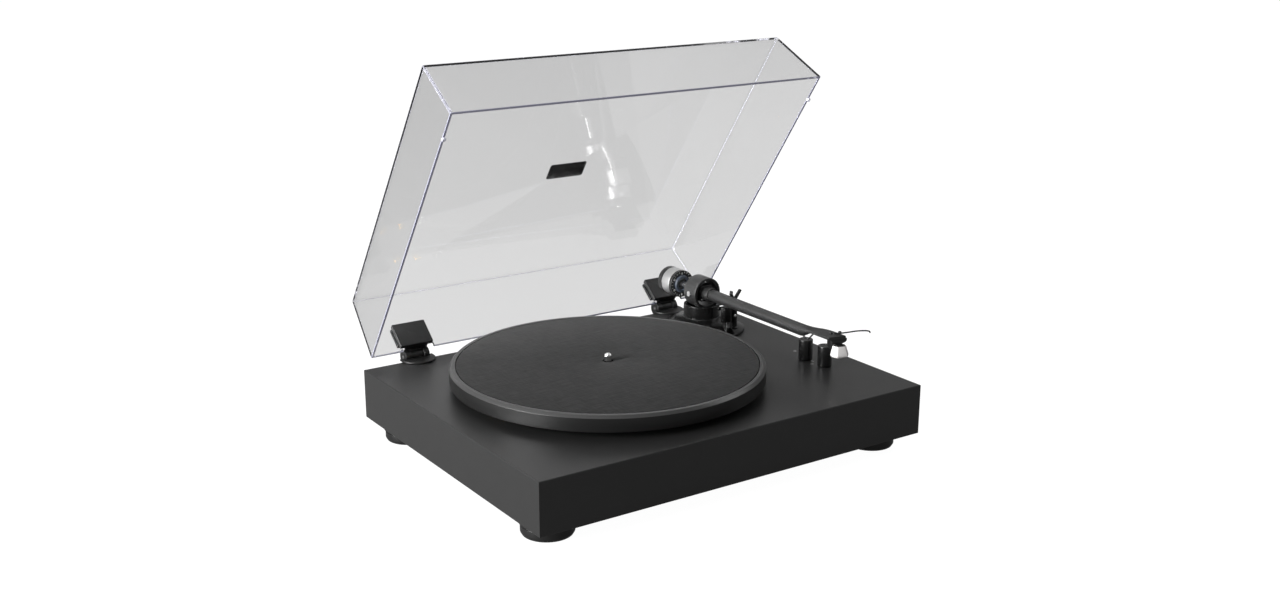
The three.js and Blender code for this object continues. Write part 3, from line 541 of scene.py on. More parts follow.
# %% Clear plastic
def clear(name, colour, rough, index=1.49):
    """Glassy plastic. A lamp's ray passes straight through, as through a thin sheet."""
    made = bpy.data.materials.new(name)
    made.use_nodes = True
    tree = made.node_tree
    shader = tree.nodes["Principled BSDF"]
    shader.inputs["Base Color"].default_value = colour
    shader.inputs["Roughness"].default_value = rough
    shader.inputs["IOR"].default_value = index
    shader.inputs["Transmission Weight"].default_value = 1.0
    passing = tree.nodes.new("ShaderNodeBsdfTransparent")
    passing.inputs["Color"].default_value = colour
    path = tree.nodes.new("ShaderNodeLightPath")
    mix = tree.nodes.new("ShaderNodeMixShader")
    tree.links.new(path.outputs["Is Shadow Ray"], mix.inputs["Fac"])
    tree.links.new(shader.outputs["BSDF"], mix.inputs[1])
    tree.links.new(passing.outputs["BSDF"], mix.inputs[2])
    tree.links.new(mix.outputs["Shader"], tree.nodes["Material Output"].inputs["Surface"])
    return made


def milky(name, colour, rough, alpha):
    """Cloudy plastic: its own pale colour, with a constant share of what lies behind it."""
    made = finish(name, colour, rough, grain=700, depth=0.004, vary=0.06, rough_vary=0.04)
    made.node_tree.nodes["Principled BSDF"].inputs["Alpha"].default_value = alpha
    return made


acrylic = clear("clear_acrylic", (0.985, 0.985, 0.987, 1), 0.02)
# Painted light: the edge's paleness and the bends' grey stand in for light carried and reflected in the clear sheet.
acrylic_edge_painted_glow = milky("acrylic_edge_painted_glow", (0.60, 0.60, 0.76, 1), 0.30, 0.80)
acrylic_fold_painted_highlight = milky("acrylic_fold_painted_highlight", (0.34, 0.34, 0.40, 1), 0.40, 0.55)
soft_stop = milky("clear_stop", (0.62, 0.62, 0.70, 1), 0.35, 0.75)
guard_plastic = milky("clear_guard", (0.66, 0.64, 0.63, 1), 0.28, 0.86)
silver_band = finish("satin_silver", grey(0.50), 0.34, metal=1.0, grain=900, depth=0.002, stretch=(1, 8, 1),
                     vary=0.08)
badge_gloss = finish("badge_gloss", grey(0.012), 0.12, grain=500, depth=0.001, coat=0.3)
dial_middle = finish("dial_blue_grey", (0.045, 0.055, 0.075, 1), 0.35, grain=1200, depth=0.004)
print("clear and special finishes are made")

# %% [markdown]
# ## Parts that keep their own mesh
#
# Flat parts, and parts inside the plinth, already have their true shape. They only need a finish, given to
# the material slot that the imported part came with.

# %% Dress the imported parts
KEPT = {
    vinyl: ["plinth"],
    moulded: ["connector_panel"],
    grey_plastic: ["bottom_cover", "sub_platter", "power_switch", "speed_switch", "weight_sleeve"],
    cast: ["bearing_housing"],
    steel: ["thrust_ball", "motor", "arm_column", "hinge_pin_left", "hinge_pin_right"],
    chrome: ["pivot_screw_left", "pivot_screw_right"],
    brass: ["motor_pulley"],
    rubber: ["drive_belt"],
    board: ["circuit_board"],
}
for dressing, names in KEPT.items():
    for node_name in names:
        for material_slot in frame["nodes"][node_name].material_slots:
            material_slot.material = dressing
print("dressed", sum(len(names) for names in KEPT.values()), "packed parts")

# %% [markdown]
# ## Feet
#
# Each foot is a moulded cup with a step and a groove near its top, over a rubber pad. All four are the same
# lathe profile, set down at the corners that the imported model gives.

# %% Feet and pads
FOOT_TOP = -49.25
FOOT_BOTTOM = -65.0
foot_profile = [
    (0, FOOT_BOTTOM + 1.75), (20.5, FOOT_BOTTOM + 1.75), (20.5, FOOT_BOTTOM + 0.8), (22.0, FOOT_BOTTOM + 0.8),
    (23.4, FOOT_BOTTOM + 3.2, 1.5), (23.4, FOOT_TOP - 6.6, 0.2), (22.4, FOOT_TOP - 6.0, 0.2),
    (24.7, FOOT_TOP - 4.6, 0.6), (24.7, FOOT_TOP, 0.4), (0, FOOT_TOP),
]
pad_profile = [(0, FOOT_BOTTOM), (19, FOOT_BOTTOM), (20, FOOT_BOTTOM + 0.8), (20, FOOT_BOTTOM + 1.5),
               (0, FOOT_BOTTOM + 1.5)]
for corner in ("front_left", "front_right", "rear_left", "rear_right"):
    low, high = deck_box(f"foot_{corner}")
    middle = (*((low + high) / 2)[:2], 0)
    piece(f"cup_{corner}", turned(rounded(foot_profile), middle), moulded, "base",
          [f"foot_{corner}"])
    piece(f"pad_{corner}", turned(rounded(pad_profile, 0.2), middle), rubber, "base",
          [f"foot_pad_{corner}"])

# %% [markdown]
# ## Platter, mat and spindle
#
# The platter is one casting: a flat web, a raised lip and a deep rim. The lip ends in a narrow bevel. Faces
# that look up get a paler colour and more shine than the rim. The paler colour is painted light from above,
# and reads as a thin ring at the platter's edge. It is turned with 256 steps, so that the ring stays round. The
# mat is a felt disc that lies inside the lip. It is a sheet of cloth, cut to a 287 mm circle with a 10 mm hole.

# %% Platter
MAT_TOP = 22.0
MAT_THICKNESS = 2.0
MAT_RADIUS = 143.5
platter_profile = [
    (3.85, 14.0, 0.3), (138, 14.0, 2.5), (138, 6.5, 0.6), (150, 6.5, 0.8), (150, MAT_TOP - 2.6, 0.35),
    (147.6, MAT_TOP, 0.3), (MAT_RADIUS + 0.6, MAT_TOP, 0.25), (MAT_RADIUS + 0.6, MAT_TOP - 2.25, 0.2),
    (3.85, MAT_TOP - 2.25, 0.3),
]
at_spindle = (SPINDLE[0], SPINDLE[1], 0)
platter = piece("platter_casting", turned(rounded(platter_profile, closed=True), at_spindle, segments=256,
                                          closed=True), platter_coat, "platter", ["platter"])
# The up-facing faces get the paler colour: painted light from above.
top_finish(platter, platter_top_painted_light, limit=0.3)

# %% Mat
HOLE = 5.0
mat_low = MAT_TOP - MAT_THICKNESS
mat_profile = [(HOLE, mat_low, 0.3), (MAT_RADIUS, mat_low, 0.3), (MAT_RADIUS, MAT_TOP, 0.7),
               (HOLE, MAT_TOP, 0.7)]
mat = piece("felt_mat", turned(rounded(mat_profile, closed=True), at_spindle, segments=256, closed=True),
            mat_felt, "platter", ["mat"])

# %% Spindle
spindle_profile = [(0, -34.7), (3.6, -34.7), (3.6, MAT_TOP + 5.3, 1.5), (3.1, MAT_TOP + 6.4, 1.5),
                   (1.8, MAT_TOP + 7.25, 1.5), (0, MAT_TOP + 7.5)]
piece("turned_spindle", turned(rounded(spindle_profile), at_spindle, segments=64), chrome, "platter",
      ["spindle"])

# %% [markdown]
# ## Carving
#
# A groove, a slot or an opening is cut with an exact Boolean: the cutter is a shape like any other, made as
# a passing object, and the result is kept as the piece's own mesh.

# %% Cut shapes out of a piece
def carve(target, *cutters, to_frame=placed, sharp=35):
    """Takes each cutter's shape away from the target's mesh."""
    for shape in cutters:
        mesh = clean_mesh("cutter", shape, to_frame, dissolve=False)
        cutter = bpy.data.objects.new("cutter", mesh)
        bpy.context.scene.collection.objects.link(cutter)
        cut = target.modifiers.new("cut", "BOOLEAN")
        cut.operation = "DIFFERENCE"
        cut.solver = "EXACT"
        cut.object = cutter
        bpy.context.view_layer.update()
        result = bpy.data.meshes.new_from_object(
            target.evaluated_get(bpy.context.evaluated_depsgraph_get())
        )
        target.modifiers.remove(cut)
        old = target.data
        target.data = result
        bpy.data.meshes.remove(old)
        bpy.data.objects.remove(cutter)
        bpy.data.meshes.remove(mesh)
    target.data.shade_smooth()
    target.data.set_sharp_from_angle(angle=math.radians(sharp))
    print(f"{target.name}: {len(target.data.polygons)} faces after carving")
    return target


def box_shape(x0, x1, y0, y1, z0, z1, radius=0.4, edge=0.3):
    """A box with round upright corners and round edges above and below."""
    return slab(box_outline(x0, x1, y0, y1, radius), z0, z1, edge=edge)


# %% [markdown]
# ## Knobs
#
# The two rotary knobs are plain cylinders with satin tops. The tops are rougher, and their paler colour is
# painted light from above. The top is turned very slightly hollow, and a fine line cut into it shows where the
# knob points. Short pale dashes on the deck mark the positions.

# %% Knobs
KNOB_RADIUS = 7.0
KNOB_HEIGHT = 21.5
knob_profile = [
    (3.4, 0.6), (KNOB_RADIUS - 0.4, 0.6, 0.2), (KNOB_RADIUS, 1.0, 0.2), (KNOB_RADIUS, KNOB_HEIGHT, 0.7),
    (KNOB_RADIUS - 1.6, KNOB_HEIGHT, 0.3), (KNOB_RADIUS - 2.0, KNOB_HEIGHT - 0.25, 0.3), (0, KNOB_HEIGHT - 0.25),
    (0, 10), (3.4, 10),
]
KNOBS = {}
for name in ("power", "speed"):
    KNOBS[name] = (*joint_place(f"{name}_knob_turn")[:2], 0)
    x, y, _ = KNOBS[name]
    knob = piece(f"{name}_control", turned(rounded(knob_profile, 0.2), KNOBS[name], segments=96), knob_plastic,
                 f"{name}_knob", [f"{name}_knob"])
    # The top faces get the paler colour: painted light from above.
    top_finish(knob, knob_top_painted_light)
    carve(knob, box_shape(x - 0.35, x + 0.35, y - KNOB_RADIUS - 1, y - 2.5, KNOB_HEIGHT - 0.6, KNOB_HEIGHT + 1,
                          0.2, 0.1))

# %% Dashes on the deck
dashes = [(387.2, 146.4, -34), (380.8, 111.6, -60), (374.6, 105.2, -34)]
DASH_LENGTH = 3.2
DASH_WIDTH = 0.7
PRINT_THICKNESS = 0.05


def dash(x, y, degrees):
    """A pale printed line on the deck, turned by degrees about z."""
    outline = box_outline(-DASH_LENGTH / 2, DASH_LENGTH / 2, -DASH_WIDTH / 2, DASH_WIDTH / 2, 0.3)
    angle = math.radians(degrees)
    turn = np.array([[math.cos(angle), math.sin(angle)], [-math.sin(angle), math.cos(angle)]])
    return slab(outline @ turn + (x, y), 0.0, PRINT_THICKNESS, edge=0.02)


piece("deck_dashes", together(*[dash(*d) for d in dashes]), ink, "base")

# %% [markdown]
# ## Arm base
#
# The arm stands on a domed flange with a round well in its middle. The dome is one lathe profile of long
# gentle curves, so a softbox draws a single bright line along its rim. A boss for the arm rest and the
# rounded housing of the lift's damper stand on it, beside the bore for the chrome rod.

# %% Domed flange
WELL_INNER = 15.8
WELL_OUTER = 19.0
WELL_FLOOR = 20.0
WELL_TOP = 28.5
at_arm = (ARM[0], ARM[1], 0)
dome_profile = [
    (4.6, 0.25, 0.1), (45.5, 0.25, 0.3), (45.3, 3.0, 1.0), (41, 5.0, 6), (37, 7.6, 9), (33, 11.6, 7),
    (28.5, 13.6, 7), (WELL_OUTER, 14.4, 1.2), (WELL_OUTER, WELL_TOP, 0.7), (WELL_INNER, WELL_TOP, 0.5),
    (WELL_INNER, WELL_FLOOR, 0.5), (4.6, WELL_FLOOR, 0.3),
]
REST = (366.5, 221.5)
LIFTER = (354.0, 219.0)
DAMPER = (351.5, 232.0)
dome = turned(rounded(dome_profile, closed=True, steps=8), at_arm, segments=160, closed=True)
boss = turned(rounded([(0, 0.3), (5.6, 0.3, 0.2), (5.6, 8, 0.9), (0, 8)]), (*REST, 0), segments=64)
damper = turned(rounded([(0, 9), (4.6, 9, 0.2), (4.6, 16.4, 1.6), (0, 16.4)], steps=6), (*DAMPER, 0), segments=64)
flange = piece("arm_flange", together(dome, boss, damper), base_plastic, "base", ["arm_base"])
ROD_BORE = 1.5
carve(flange, turned([(0, -1), (ROD_BORE, -1), (ROD_BORE, 9), (0, 9)], (*LIFTER, 0), segments=32))

# %% [markdown]
# ## Gimbal and bearings
#
# A short ring holds the arm between two pointed screws and turns on a column in the well. Ring and block are
# painted metal with small round edges, because a bevel of half a millimetre is what tells metal from a
# drawing of it. Two bright screws close the block's front.

# %% Gimbal ring
RING_OUTER = 16.5
RING_INNER = 13.6
ring_profile = [(RING_INNER, -10, 0.5), (RING_OUTER, -10, 0.7), (RING_OUTER, 10, 0.7), (RING_INNER, 10, 0.5)]
ring = turned(rounded(ring_profile, closed=True), tuple(ARM), axis="y", segments=128, closed=True)
foot = turned(rounded([(0, WELL_FLOOR + 0.7), (7, WELL_FLOOR + 0.7, 0.4), (7, 26.2), (0, 26.2)]), at_arm,
              segments=64)
piece("bearing_ring", together(ring, foot), arm_paint, "gimbal", ["gimbal_ring"])

# %% Bearing block and its screws
block = slab(box_outline(ARM[0] - 7.8, ARM[0] + 7.8, ARM[2] - 8.5, ARM[2] + 8.5, 2.2), ARM[1] - 8, ARM[1] + 8,
             axis="y", edge=0.6)
piece("pivot_block", block, arm_paint, "arm", ["bearing_block"])


def screw_head(radius, height, axis="y", centre=(0, 0, 0), sign=-1):
    """A domed screw head that rises along sign times the axis."""
    profile = [(0, 0), (radius, 0), (radius, sign * height * 0.55, height * 0.5), (radius * 0.45, sign * height, 1),
               (0, sign * height)]
    return turned(rounded(profile, 0.1), centre, axis=axis, segments=32)


block_front = ARM[1] - 8.0
screws = [screw_head(1.3, 0.9, centre=(ARM[0] + side * 5.9, block_front + 0.05, ARM[2] - 6.4)) for side in (-1, 1)]
piece("block_screws", together(*screws), chrome, "arm")

# %% [markdown]
# ## Tonearm
#
# The arm is one drawn tube whose end is pressed flat to carry the cartridge. It is a loft: a row of
# superellipses along the tube, each with its own middle, half width, half height and squareness. A
# superellipse of power 2 is a circle, and one of power 5 is nearly a rectangle.

# %% Tube and headshell
TUBE_REAR = 243.4
REAR_RADIUS = 6.0
FRONT_RADIUS = 5.9
# Each station: distance from the front, left and right edge, bottom and top, and power
stations = np.array([
    (TUBE_REAR, ARM[0] - REAR_RADIUS, ARM[0] + REAR_RADIUS, ARM[2] - REAR_RADIUS, ARM[2] + REAR_RADIUS, 2.0),
    (150, ARM[0] - FRONT_RADIUS, ARM[0] + FRONT_RADIUS, ARM[2] - FRONT_RADIUS, ARM[2] + FRONT_RADIUS, 2.0),
    (112, ARM[0] - FRONT_RADIUS, ARM[0] + FRONT_RADIUS, ARM[2] - FRONT_RADIUS, ARM[2] + FRONT_RADIUS, 2.0),
    (99, 348.1, 359.9, 35.1, 46.9, 2.0),
    (94, 348.2, 359.9, 36.0, 46.7, 2.3),
    (89, 348.7, 361.0, 38.8, 46.1, 2.8),
    (84, 349.3, 363.6, 41.2, 45.4, 3.6),
    (78, 349.6, 366.8, 41.95, 45.1, 5.0),
    (71, 349.6, 368.4, 42.0, 45.0, 6.0),
    (62, 349.6, 368.6, 42.0, 45.0, 6.0),
    (55, 349.6, 368.6, 42.0, 45.0, 6.0),
])


def smooth_rows(rows, spread):
    """Catmull-Rom curves through the rows, with spread steps from each to the next."""
    padded = np.concatenate([rows[:1], rows, rows[-1:]])
    t = np.linspace(0, 1, spread, endpoint=False)[:, None]
    parts = [0.5 * (2 * b + (c - a) * t + (2 * a - 5 * b + 4 * c - d) * t**2 + (3 * b - a - 3 * c + d) * t**3)
             for a, b, c, d in zip(padded, padded[1:], padded[2:], padded[3:])]
    return np.concatenate(parts + [rows[-1:]])


def lofted(rows, sides=48, end_round=0.6, skew=0.0):
    """Superellipses: x = middle + half width times cos to the power 2/n, and z likewise with sin. The last
    ring is drawn in by end_round for a soft edge, and skew slants the front by that much to the right."""
    y, left, right, bottom, top, power = [rows[:, i:i + 1] for i in range(6)]
    angle = np.arange(sides) * 2 * np.pi / sides
    cos, sin = np.cos(angle), np.sin(angle)
    across = np.sign(cos) * np.abs(cos) ** (2 / power)
    upward = np.sign(sin) * np.abs(sin) ** (2 / power)
    half_width, half_height = (right - left) / 2, (top - bottom) / 2
    x = (left + right) / 2 + half_width * across
    z = (top + bottom) / 2 + half_height * upward
    nearness = np.clip((80 - y) / 25, 0, 1)
    depth = y - skew * nearness * (x - left) / (right - left)
    points = np.stack([x, depth + 0 * x, z], axis=-1)
    middle = points[-1].mean(axis=0)
    last = middle + (points[-1] - middle) * (1 - end_round / half_width[-1, 0]) - (0, end_round, 0)
    points = np.concatenate([points, last[None]])
    return points.reshape(-1, 3), capped_grid(len(points), sides)


tube = lofted(smooth_rows(stations, 6), skew=4.0)
collar_profile = [(0, 243.0), (7.4, 243.0, 0.6), (7.4, 252.75, 0.5), (0, 252.75)]
collar = turned(rounded(collar_profile), (ARM[0], 0, ARM[2]), axis="y", segments=64)
piece("arm_wand", together(tube, collar), arm_paint, "arm", ["arm_tube"])

# %% Finger lift
lift_path = [
    (361.0, 59.2, 46.0), (366, 56.6, 46.0), (372, 53.4, 46.6), (381, 49.4, 47.5), (389, 46.4, 47.2),
    (392.4, 45.2, 46.5), (393.4, 44.9, 45.7), (393.7, 44.8, 44.6),
]
piece("lift_wire", drawn(lift_path, 0.7, sides=16), moulded, "arm", ["finger_lift"])

# %% [markdown]
# ## Cartridge, stylus and guard
#
# The cartridge is turned a little inwards, so its parts are worked out squarely in their own frame, with the
# middle of its front at the origin, and are turned and set down together. Its front is a half moon over a
# narrow neck, which is the stylus unit's grip. The guard is a cloudy scoop, widest at its middle, that pulls
# off forwards.

# %% Cartridge frame
CARTRIDGE = np.array([362.8, 53.2, 0.0])
INWARDS = math.radians(-15)
MOUNT = 41.75


def cartridge_placed(points):
    """Turned about z by the inward angle, moved to the headshell, and then to metres."""
    x, y, z = np.asarray(points, float).T
    turned_points = np.stack([x * math.cos(INWARDS) - y * math.sin(INWARDS),
                              x * math.sin(INWARDS) + y * math.cos(INWARDS), z], axis=1)
    return placed(turned_points + CARTRIDGE)


def half_moon(width, top, depth, steps=24):
    """A flat top edge over half an ellipse that is depth deep, as an outline in x and z."""
    angle = np.linspace(np.pi, 2 * np.pi, steps)
    arc = np.stack([width / 2 * np.cos(angle), top - 1.2 + (depth - 1.2) * np.sin(angle)], axis=1)
    return np.concatenate([[(width / 2, top), (-width / 2, top)], arc])


brow = slab(half_moon(16, MOUNT, 5.2), 0, 6, axis="y", edge=0.5)
back = box_shape(-6, 6, 5, 15, MOUNT - 12, MOUNT, 1.2, 0.5)
pins_block = box_shape(-4.5, 4.5, 14, 16.5, MOUNT - 9, MOUNT - 3, 0.5, 0.3)
piece("cartridge", together(brow, back, pins_block), moulded, "arm", ["cartridge_body"],
      to_frame=cartridge_placed)

# %% Stylus
neck_outline = rounded([(-3.4, MOUNT - 5.45), (-4.4, MOUNT - 9.0), (-4.4, MOUNT - 13.5), (4.4, MOUNT - 13.5),
                        (4.4, MOUNT - 9.0), (3.4, MOUNT - 5.45)], 0.8, closed=True)
neck = slab(neck_outline, -2, 4.6, axis="y", edge=0.5)
piece("stylus_grip", neck, moulded, "arm", ["stylus_unit"], to_frame=cartridge_placed)
STYLUS_TIP = 24.9
cantilever = drawn([(0, 1.5, MOUNT - 13), (0, 0, 27.4), (0, -1.2, 26.2)], 0.28, sides=12)
diamond = turned([(0, STYLUS_TIP), (0.12, 25.2), (0.2, 26.3), (0, 26.3)], (0, -1.2, 0), segments=12)
piece("cantilever", together(cantilever, diamond), steel, "arm", to_frame=cartridge_placed)

# %% Guard
guard_outline = np.array(rounded([(-6.8, 4.4), (-8.6, 1), (-8.6, -3), (-5.4, -7.6), (5.4, -7.6), (8.6, -3),
                                  (8.6, 1), (6.8, 4.4)], 1.6, closed=True))


def scaled_rows(outline, rows):
    """The outline at each height: narrowed to the share that the row gives, about the middle of its back."""
    middle = np.array([0.0, 1.0])
    flat = [np.column_stack([middle + (outline - middle) * share, np.full(len(outline), height)])
            for share, height in rows]
    return np.concatenate(flat), len(rows)


guard_rows = [(0.34, 23.0), (0.40, 23.15), (0.47, 24.2), (0.52, 24.6), (0.90, 25.0), (0.98, 25.5), (1.0, 26.6),
              (0.97, 28.2), (0.86, 31.2), (0.75, 34.6), (0.70, 35.5), (0.66, 35.4), (0.68, 34.4), (0.78, 31.2),
              (0.88, 28.2), (0.89, 27.0), (0.84, 26.3), (0.40, 25.4)]
guard_points, count = scaled_rows(guard_outline, guard_rows)
guard_faces = capped_grid(count, len(guard_outline))
piece("guard_scoop", (guard_points, guard_faces), guard_plastic, "guard", ["stylus_guard"],
      to_frame=cartridge_placed, sharp=50)

# %% Cartridge screws and leads
heads = [screw_head(1.7, 1.5, axis="z", centre=(side * 4.6, 9.0, 45.0), sign=1) for side in (-1, 1)]
piece("cartridge_screws", together(*heads), hinge_plastic, "arm", to_frame=cartridge_placed)
leads = [drawn([(351.5 + i, 93.5, 36.6), (351.7 + i, 91, 34.2), (352.2 + i, 87.5, 34.4), (353.0 + i, 84, 38.0),
                (354.2 + i, 81, 41.2), (357.5 + i, 76, 41.3), (361.6 + i, 71.8, 39.4), (362.4 + i, 69.4, 37.4)],
               0.35, sides=10) for i in range(3)]
piece("cartridge_leads", together(*leads), rubber, "arm")

# %% [markdown]
# ## Counterweight
#
# The weight screws along a shaft behind the gimbal. It is a satin silver band with a black ring behind it
# and a thin numbered dial in front. The numbers are a mesh of their own, set round the dial by angle.

# %% Weight
WEIGHT_FRONT = 296.8
WEIGHT_REAR = 321.7
WEIGHT_RADIUS = 14.5
BORE = 6.25
at_shaft = (ARM[0], 0, ARM[2])


def shaft_ring(profile, segments=128):
    """A ring with a hole, turned about the arm's line."""
    return turned(rounded(profile, closed=True), at_shaft, axis="y", segments=segments, closed=True)


piece("rear_shaft", turned(rounded([(0, 269.25), (3.5, 269.25), (3.5, WEIGHT_REAR + 2.6, 0.6),
                                    (0, WEIGHT_REAR + 2.6)]), at_shaft, axis="y", segments=48),
      steel, "arm", ["weight_shaft"])
band_profile = [(BORE, 301.3), (WEIGHT_RADIUS, 301.3, 0.3), (WEIGHT_RADIUS, WEIGHT_REAR - 7.1, 0.4),
                (BORE, WEIGHT_REAR - 7.1)]
rear_profile = [(BORE, WEIGHT_REAR - 6.8), (WEIGHT_RADIUS, WEIGHT_REAR - 6.8, 0.4),
                (WEIGHT_RADIUS, WEIGHT_REAR, 0.9), (BORE, WEIGHT_REAR, 0.4)]
front_profile = [(BORE, 299.25), (WEIGHT_RADIUS, 299.25, 0.3), (WEIGHT_RADIUS, 301.0, 0.3), (BORE, 301.0)]
piece("weight_band", shaft_ring(band_profile), silver_band, "counterweight", ["counterweight"])
piece("weight_rings", together(shaft_ring(front_profile), shaft_ring(rear_profile)), knob_plastic,
      "counterweight")

# %% Dial
dial_profile = [(9.5, WEIGHT_FRONT + 0.5, 0.1), (WEIGHT_RADIUS, WEIGHT_FRONT, 0.3), (WEIGHT_RADIUS, 299.0, 0.2),
                (9.5, 299.0, 0.1)]
middle_profile = [(BORE, WEIGHT_FRONT - 1.6, 0.3), (9.0, WEIGHT_FRONT - 1.6, 0.7), (9.4, WEIGHT_FRONT + 0.5, 0.1),
                  (9.4, 299.0, 0.1), (BORE, 299.0, 0.1)]
piece("dial_ring", shaft_ring(dial_profile), moulded, "dial", ["force_dial"])
piece("dial_hub", shaft_ring(middle_profile, segments=96), dial_middle, "dial")


# %% Numbers on the dial
def written(text, size, thickness):
    """The points and faces of a short text, in millimetres, with its middle at the origin."""
    curve = bpy.data.curves.new("figure", "FONT")
    curve.body = text
    curve.size = size
    curve.extrude = thickness / 2
    curve.offset = FIGURE_WEIGHT
    curve.align_x = "CENTER"
    curve.align_y = "CENTER"
    holder = bpy.data.objects.new("figure", curve)
    bpy.context.scene.collection.objects.link(holder)
    bpy.context.view_layer.update()
    mesh = bpy.data.meshes.new_from_object(holder.evaluated_get(bpy.context.evaluated_depsgraph_get()))
    points = np.array([vertex.co[:] for vertex in mesh.vertices])
    faces = [list(polygon.vertices) for polygon in mesh.polygons]
    bpy.data.objects.remove(holder)
    bpy.data.meshes.remove(mesh)
    bpy.data.curves.remove(curve)
    return points, faces


def on_dial(shape, degrees, radius):
    """Sets a flat figure on the dial's front at an angle from the top, with its head outwards."""
    points, faces = shape
    angle = math.radians(degrees)
    right = np.array([math.cos(angle), 0, -math.sin(angle)])
    outwards = np.array([math.sin(angle), 0, math.cos(angle)])
    face = WEIGHT_FRONT + 0.5 * (14.1 - radius) / 4.7
    origin = np.array([ARM[0], face, ARM[2]]) + radius * outwards
    return origin + points[:, :1] * right + points[:, 1:2] * outwards - points[:, 2:3] * [0, 1, 0], faces


FIGURE_THICKNESS = 0.16
FIGURE_WEIGHT = 0.10      # by how much each stroke is made bolder
figures = [on_dial(written(str(i), 4.3, FIGURE_THICKNESS), 60 * i - 60, 11.7) for i in range(6)]
tick = slab(box_outline(-0.15, 0.15, -0.9, 0.9, 0.1, 2), -FIGURE_THICKNESS / 2, FIGURE_THICKNESS / 2, edge=0.02)
figures += [on_dial(tick, 15 * i - 60, 12.8) for i in range(24) if i % 4]
piece("dial_figures", together(*figures), ink, "dial")

# %% [markdown]
# ## Arm rest, clip and lift
#
# The rest is a post with a hook under the tube, and the clip on top is a small V that closes over it. The
# lift has a chrome rod and a black head whose ridges run up and down. Its outline is a rounded rectangle
# pushed in and out by a cosine.

# %% Rest and clip
post = turned(rounded([(0, 8.25), (4.2, 8.25, 0.2), (4.2, 10, 0.3), (3.4, 10.8, 0.3), (3.4, 35.2, 0.6), (0, 35.2)]),
              (*REST, 0), segments=64)
hook_outline = rounded([(REST[0], REST[1] - 1), (REST[0] + 2, REST[1] + 6), (348.6, REST[1] + 6),
                        (348.6, REST[1] + 3), (REST[0] - 3.2, REST[1] + 3)], 1.0, closed=True)
piece("rest_post", together(post, slab(hook_outline, 29.6, 32.8, edge=0.5)), base_plastic, "base",
      ["arm_rest"])
rest_screw = screw_head(1.7, 1.0, centre=(REST[0] - 1.0, REST[1] - 3.2, 23.0))
piece("rest_screw", rest_screw, chrome, "base")
CLIP_Z = 38.6
hub = turned(rounded([(0, -1.8), (2.9, -1.8), (2.9, 1.8), (0, 1.8)], 0.4), (REST[0], REST[1], CLIP_Z), axis="y",
             segments=48)
prongs = [
    [(364.2, 39.6), (366.6, 41.0), (363.6, 46.2), (364.0, 49.0), (361.6, 49.8), (360.9, 45.4)],
    [(366.2, 41.2), (368.6, 39.4), (375.4, 48.6), (373.4, 50.0)],
]
prong_shapes = [slab(rounded(p, 0.7, closed=True), REST[1] - 1.5, REST[1] + 1.5, axis="y", edge=0.4) for p in prongs]
piece("clip_v", together(hub, *prong_shapes), moulded, "clip", ["arm_clip"])

# %% Lifter
ROD_RADIUS = 1.2
ROD_BOTTOM = 4.6          # it drops by 4 mm in its bore and stays over the deck
rod = turned(rounded([(0, ROD_BOTTOM), (ROD_RADIUS, ROD_BOTTOM, 0.2), (ROD_RADIUS, 18.5), (0, 18.5)]), (*LIFTER, 0),
             segments=32)
piece("lift_rod", rod, chrome, "lifter")


def ridged(outline, depth, count):
    """Moves each point of a round outline in by depth (1 - cos(count a)) / 2, where a goes once round."""
    middle = outline.mean(axis=0)
    steps = np.linalg.norm(np.diff(outline, axis=0, append=outline[:1]), axis=1)
    share = np.concatenate([[0], np.cumsum(steps)[:-1]]) / steps.sum()
    depth_here = depth * (1 - np.cos(2 * np.pi * count * share)) / 2
    away = outline - middle
    away /= np.linalg.norm(away, axis=1)[:, None]
    return outline - away * depth_here[:, None]


def even(outline, count):
    """The same outline with count points, evenly spaced along it."""
    closed = np.concatenate([outline, outline[:1]])
    length = np.concatenate([[0], np.cumsum(np.linalg.norm(np.diff(closed, axis=0), axis=1))])
    wanted = np.linspace(0, length[-1], count, endpoint=False)
    return np.stack([np.interp(wanted, length, closed[:, 0]), np.interp(wanted, length, closed[:, 1])], axis=1)


head_outline = even(box_outline(LIFTER[0] - 4.5, LIFTER[0] + 4.5, LIFTER[1] - 3, LIFTER[1] + 3, 0.8), 240)
HEAD_BOTTOM = 18.0
HEAD_TOP = 33.6
RIDGE_DEPTH = 0.35
RIDGES = 24
head = slab(ridged(head_outline, RIDGE_DEPTH, RIDGES), HEAD_BOTTOM, HEAD_TOP, edge=0.35)
piece("lift_head", head, base_plastic, "lifter", ["cue_lifter"], sharp=60)

# %% Lever and anti-skate dial
LEVER = joint_place("cue_lever_tilt")
shaft = turned(rounded([(0, 370.6), (2, 370.6), (2, ARM[0] + 33, 0.4), (0, ARM[0] + 33)]), (0, LEVER[1], LEVER[2]),
               axis="x", segments=40)
handle = drawn([(ARM[0] + 31, LEVER[1] + 2, LEVER[2]), (ARM[0] + 31.5, LEVER[1] - 10, LEVER[2] + 0.4),
                (ARM[0] + 32, LEVER[1] - 22, LEVER[2] + 1)], 1.5)
tip = turned(rounded([(0, -9), (2.6, -9, 0.8), (2.2, -4, 2), (2.6, 0, 0.6), (0, 0)]),
             (ARM[0] + 32, LEVER[1] - 20, LEVER[2] + 1), axis="y", segments=40)
piece("lever", together(shaft, handle, tip), moulded, "lever", ["cue_lever"])
SKATE = joint_place("anti_skate_turn")
skate_outline = ridged(circle(4.6, 288, SKATE[:2]), 0.22, 36)
skate = together(slab(skate_outline, 15, 18.4, edge=0.3),
                 turned(rounded([(0, 18.3), (3.6, 18.3), (3.6, 18.7, 0.2), (0, 18.7)]), (*SKATE[:2], 0), segments=48))
piece("skate_dial", skate, moulded, "anti_skate", ["anti_skate_dial"], sharp=50)

# %% [markdown]
# ## Sockets at the back
#
# Two gold phono barrels stand on a black block, with a white ring round the left channel and a red one
# round the right. Beside them are a knurled thumb nut for the earth wire and a round power inlet.

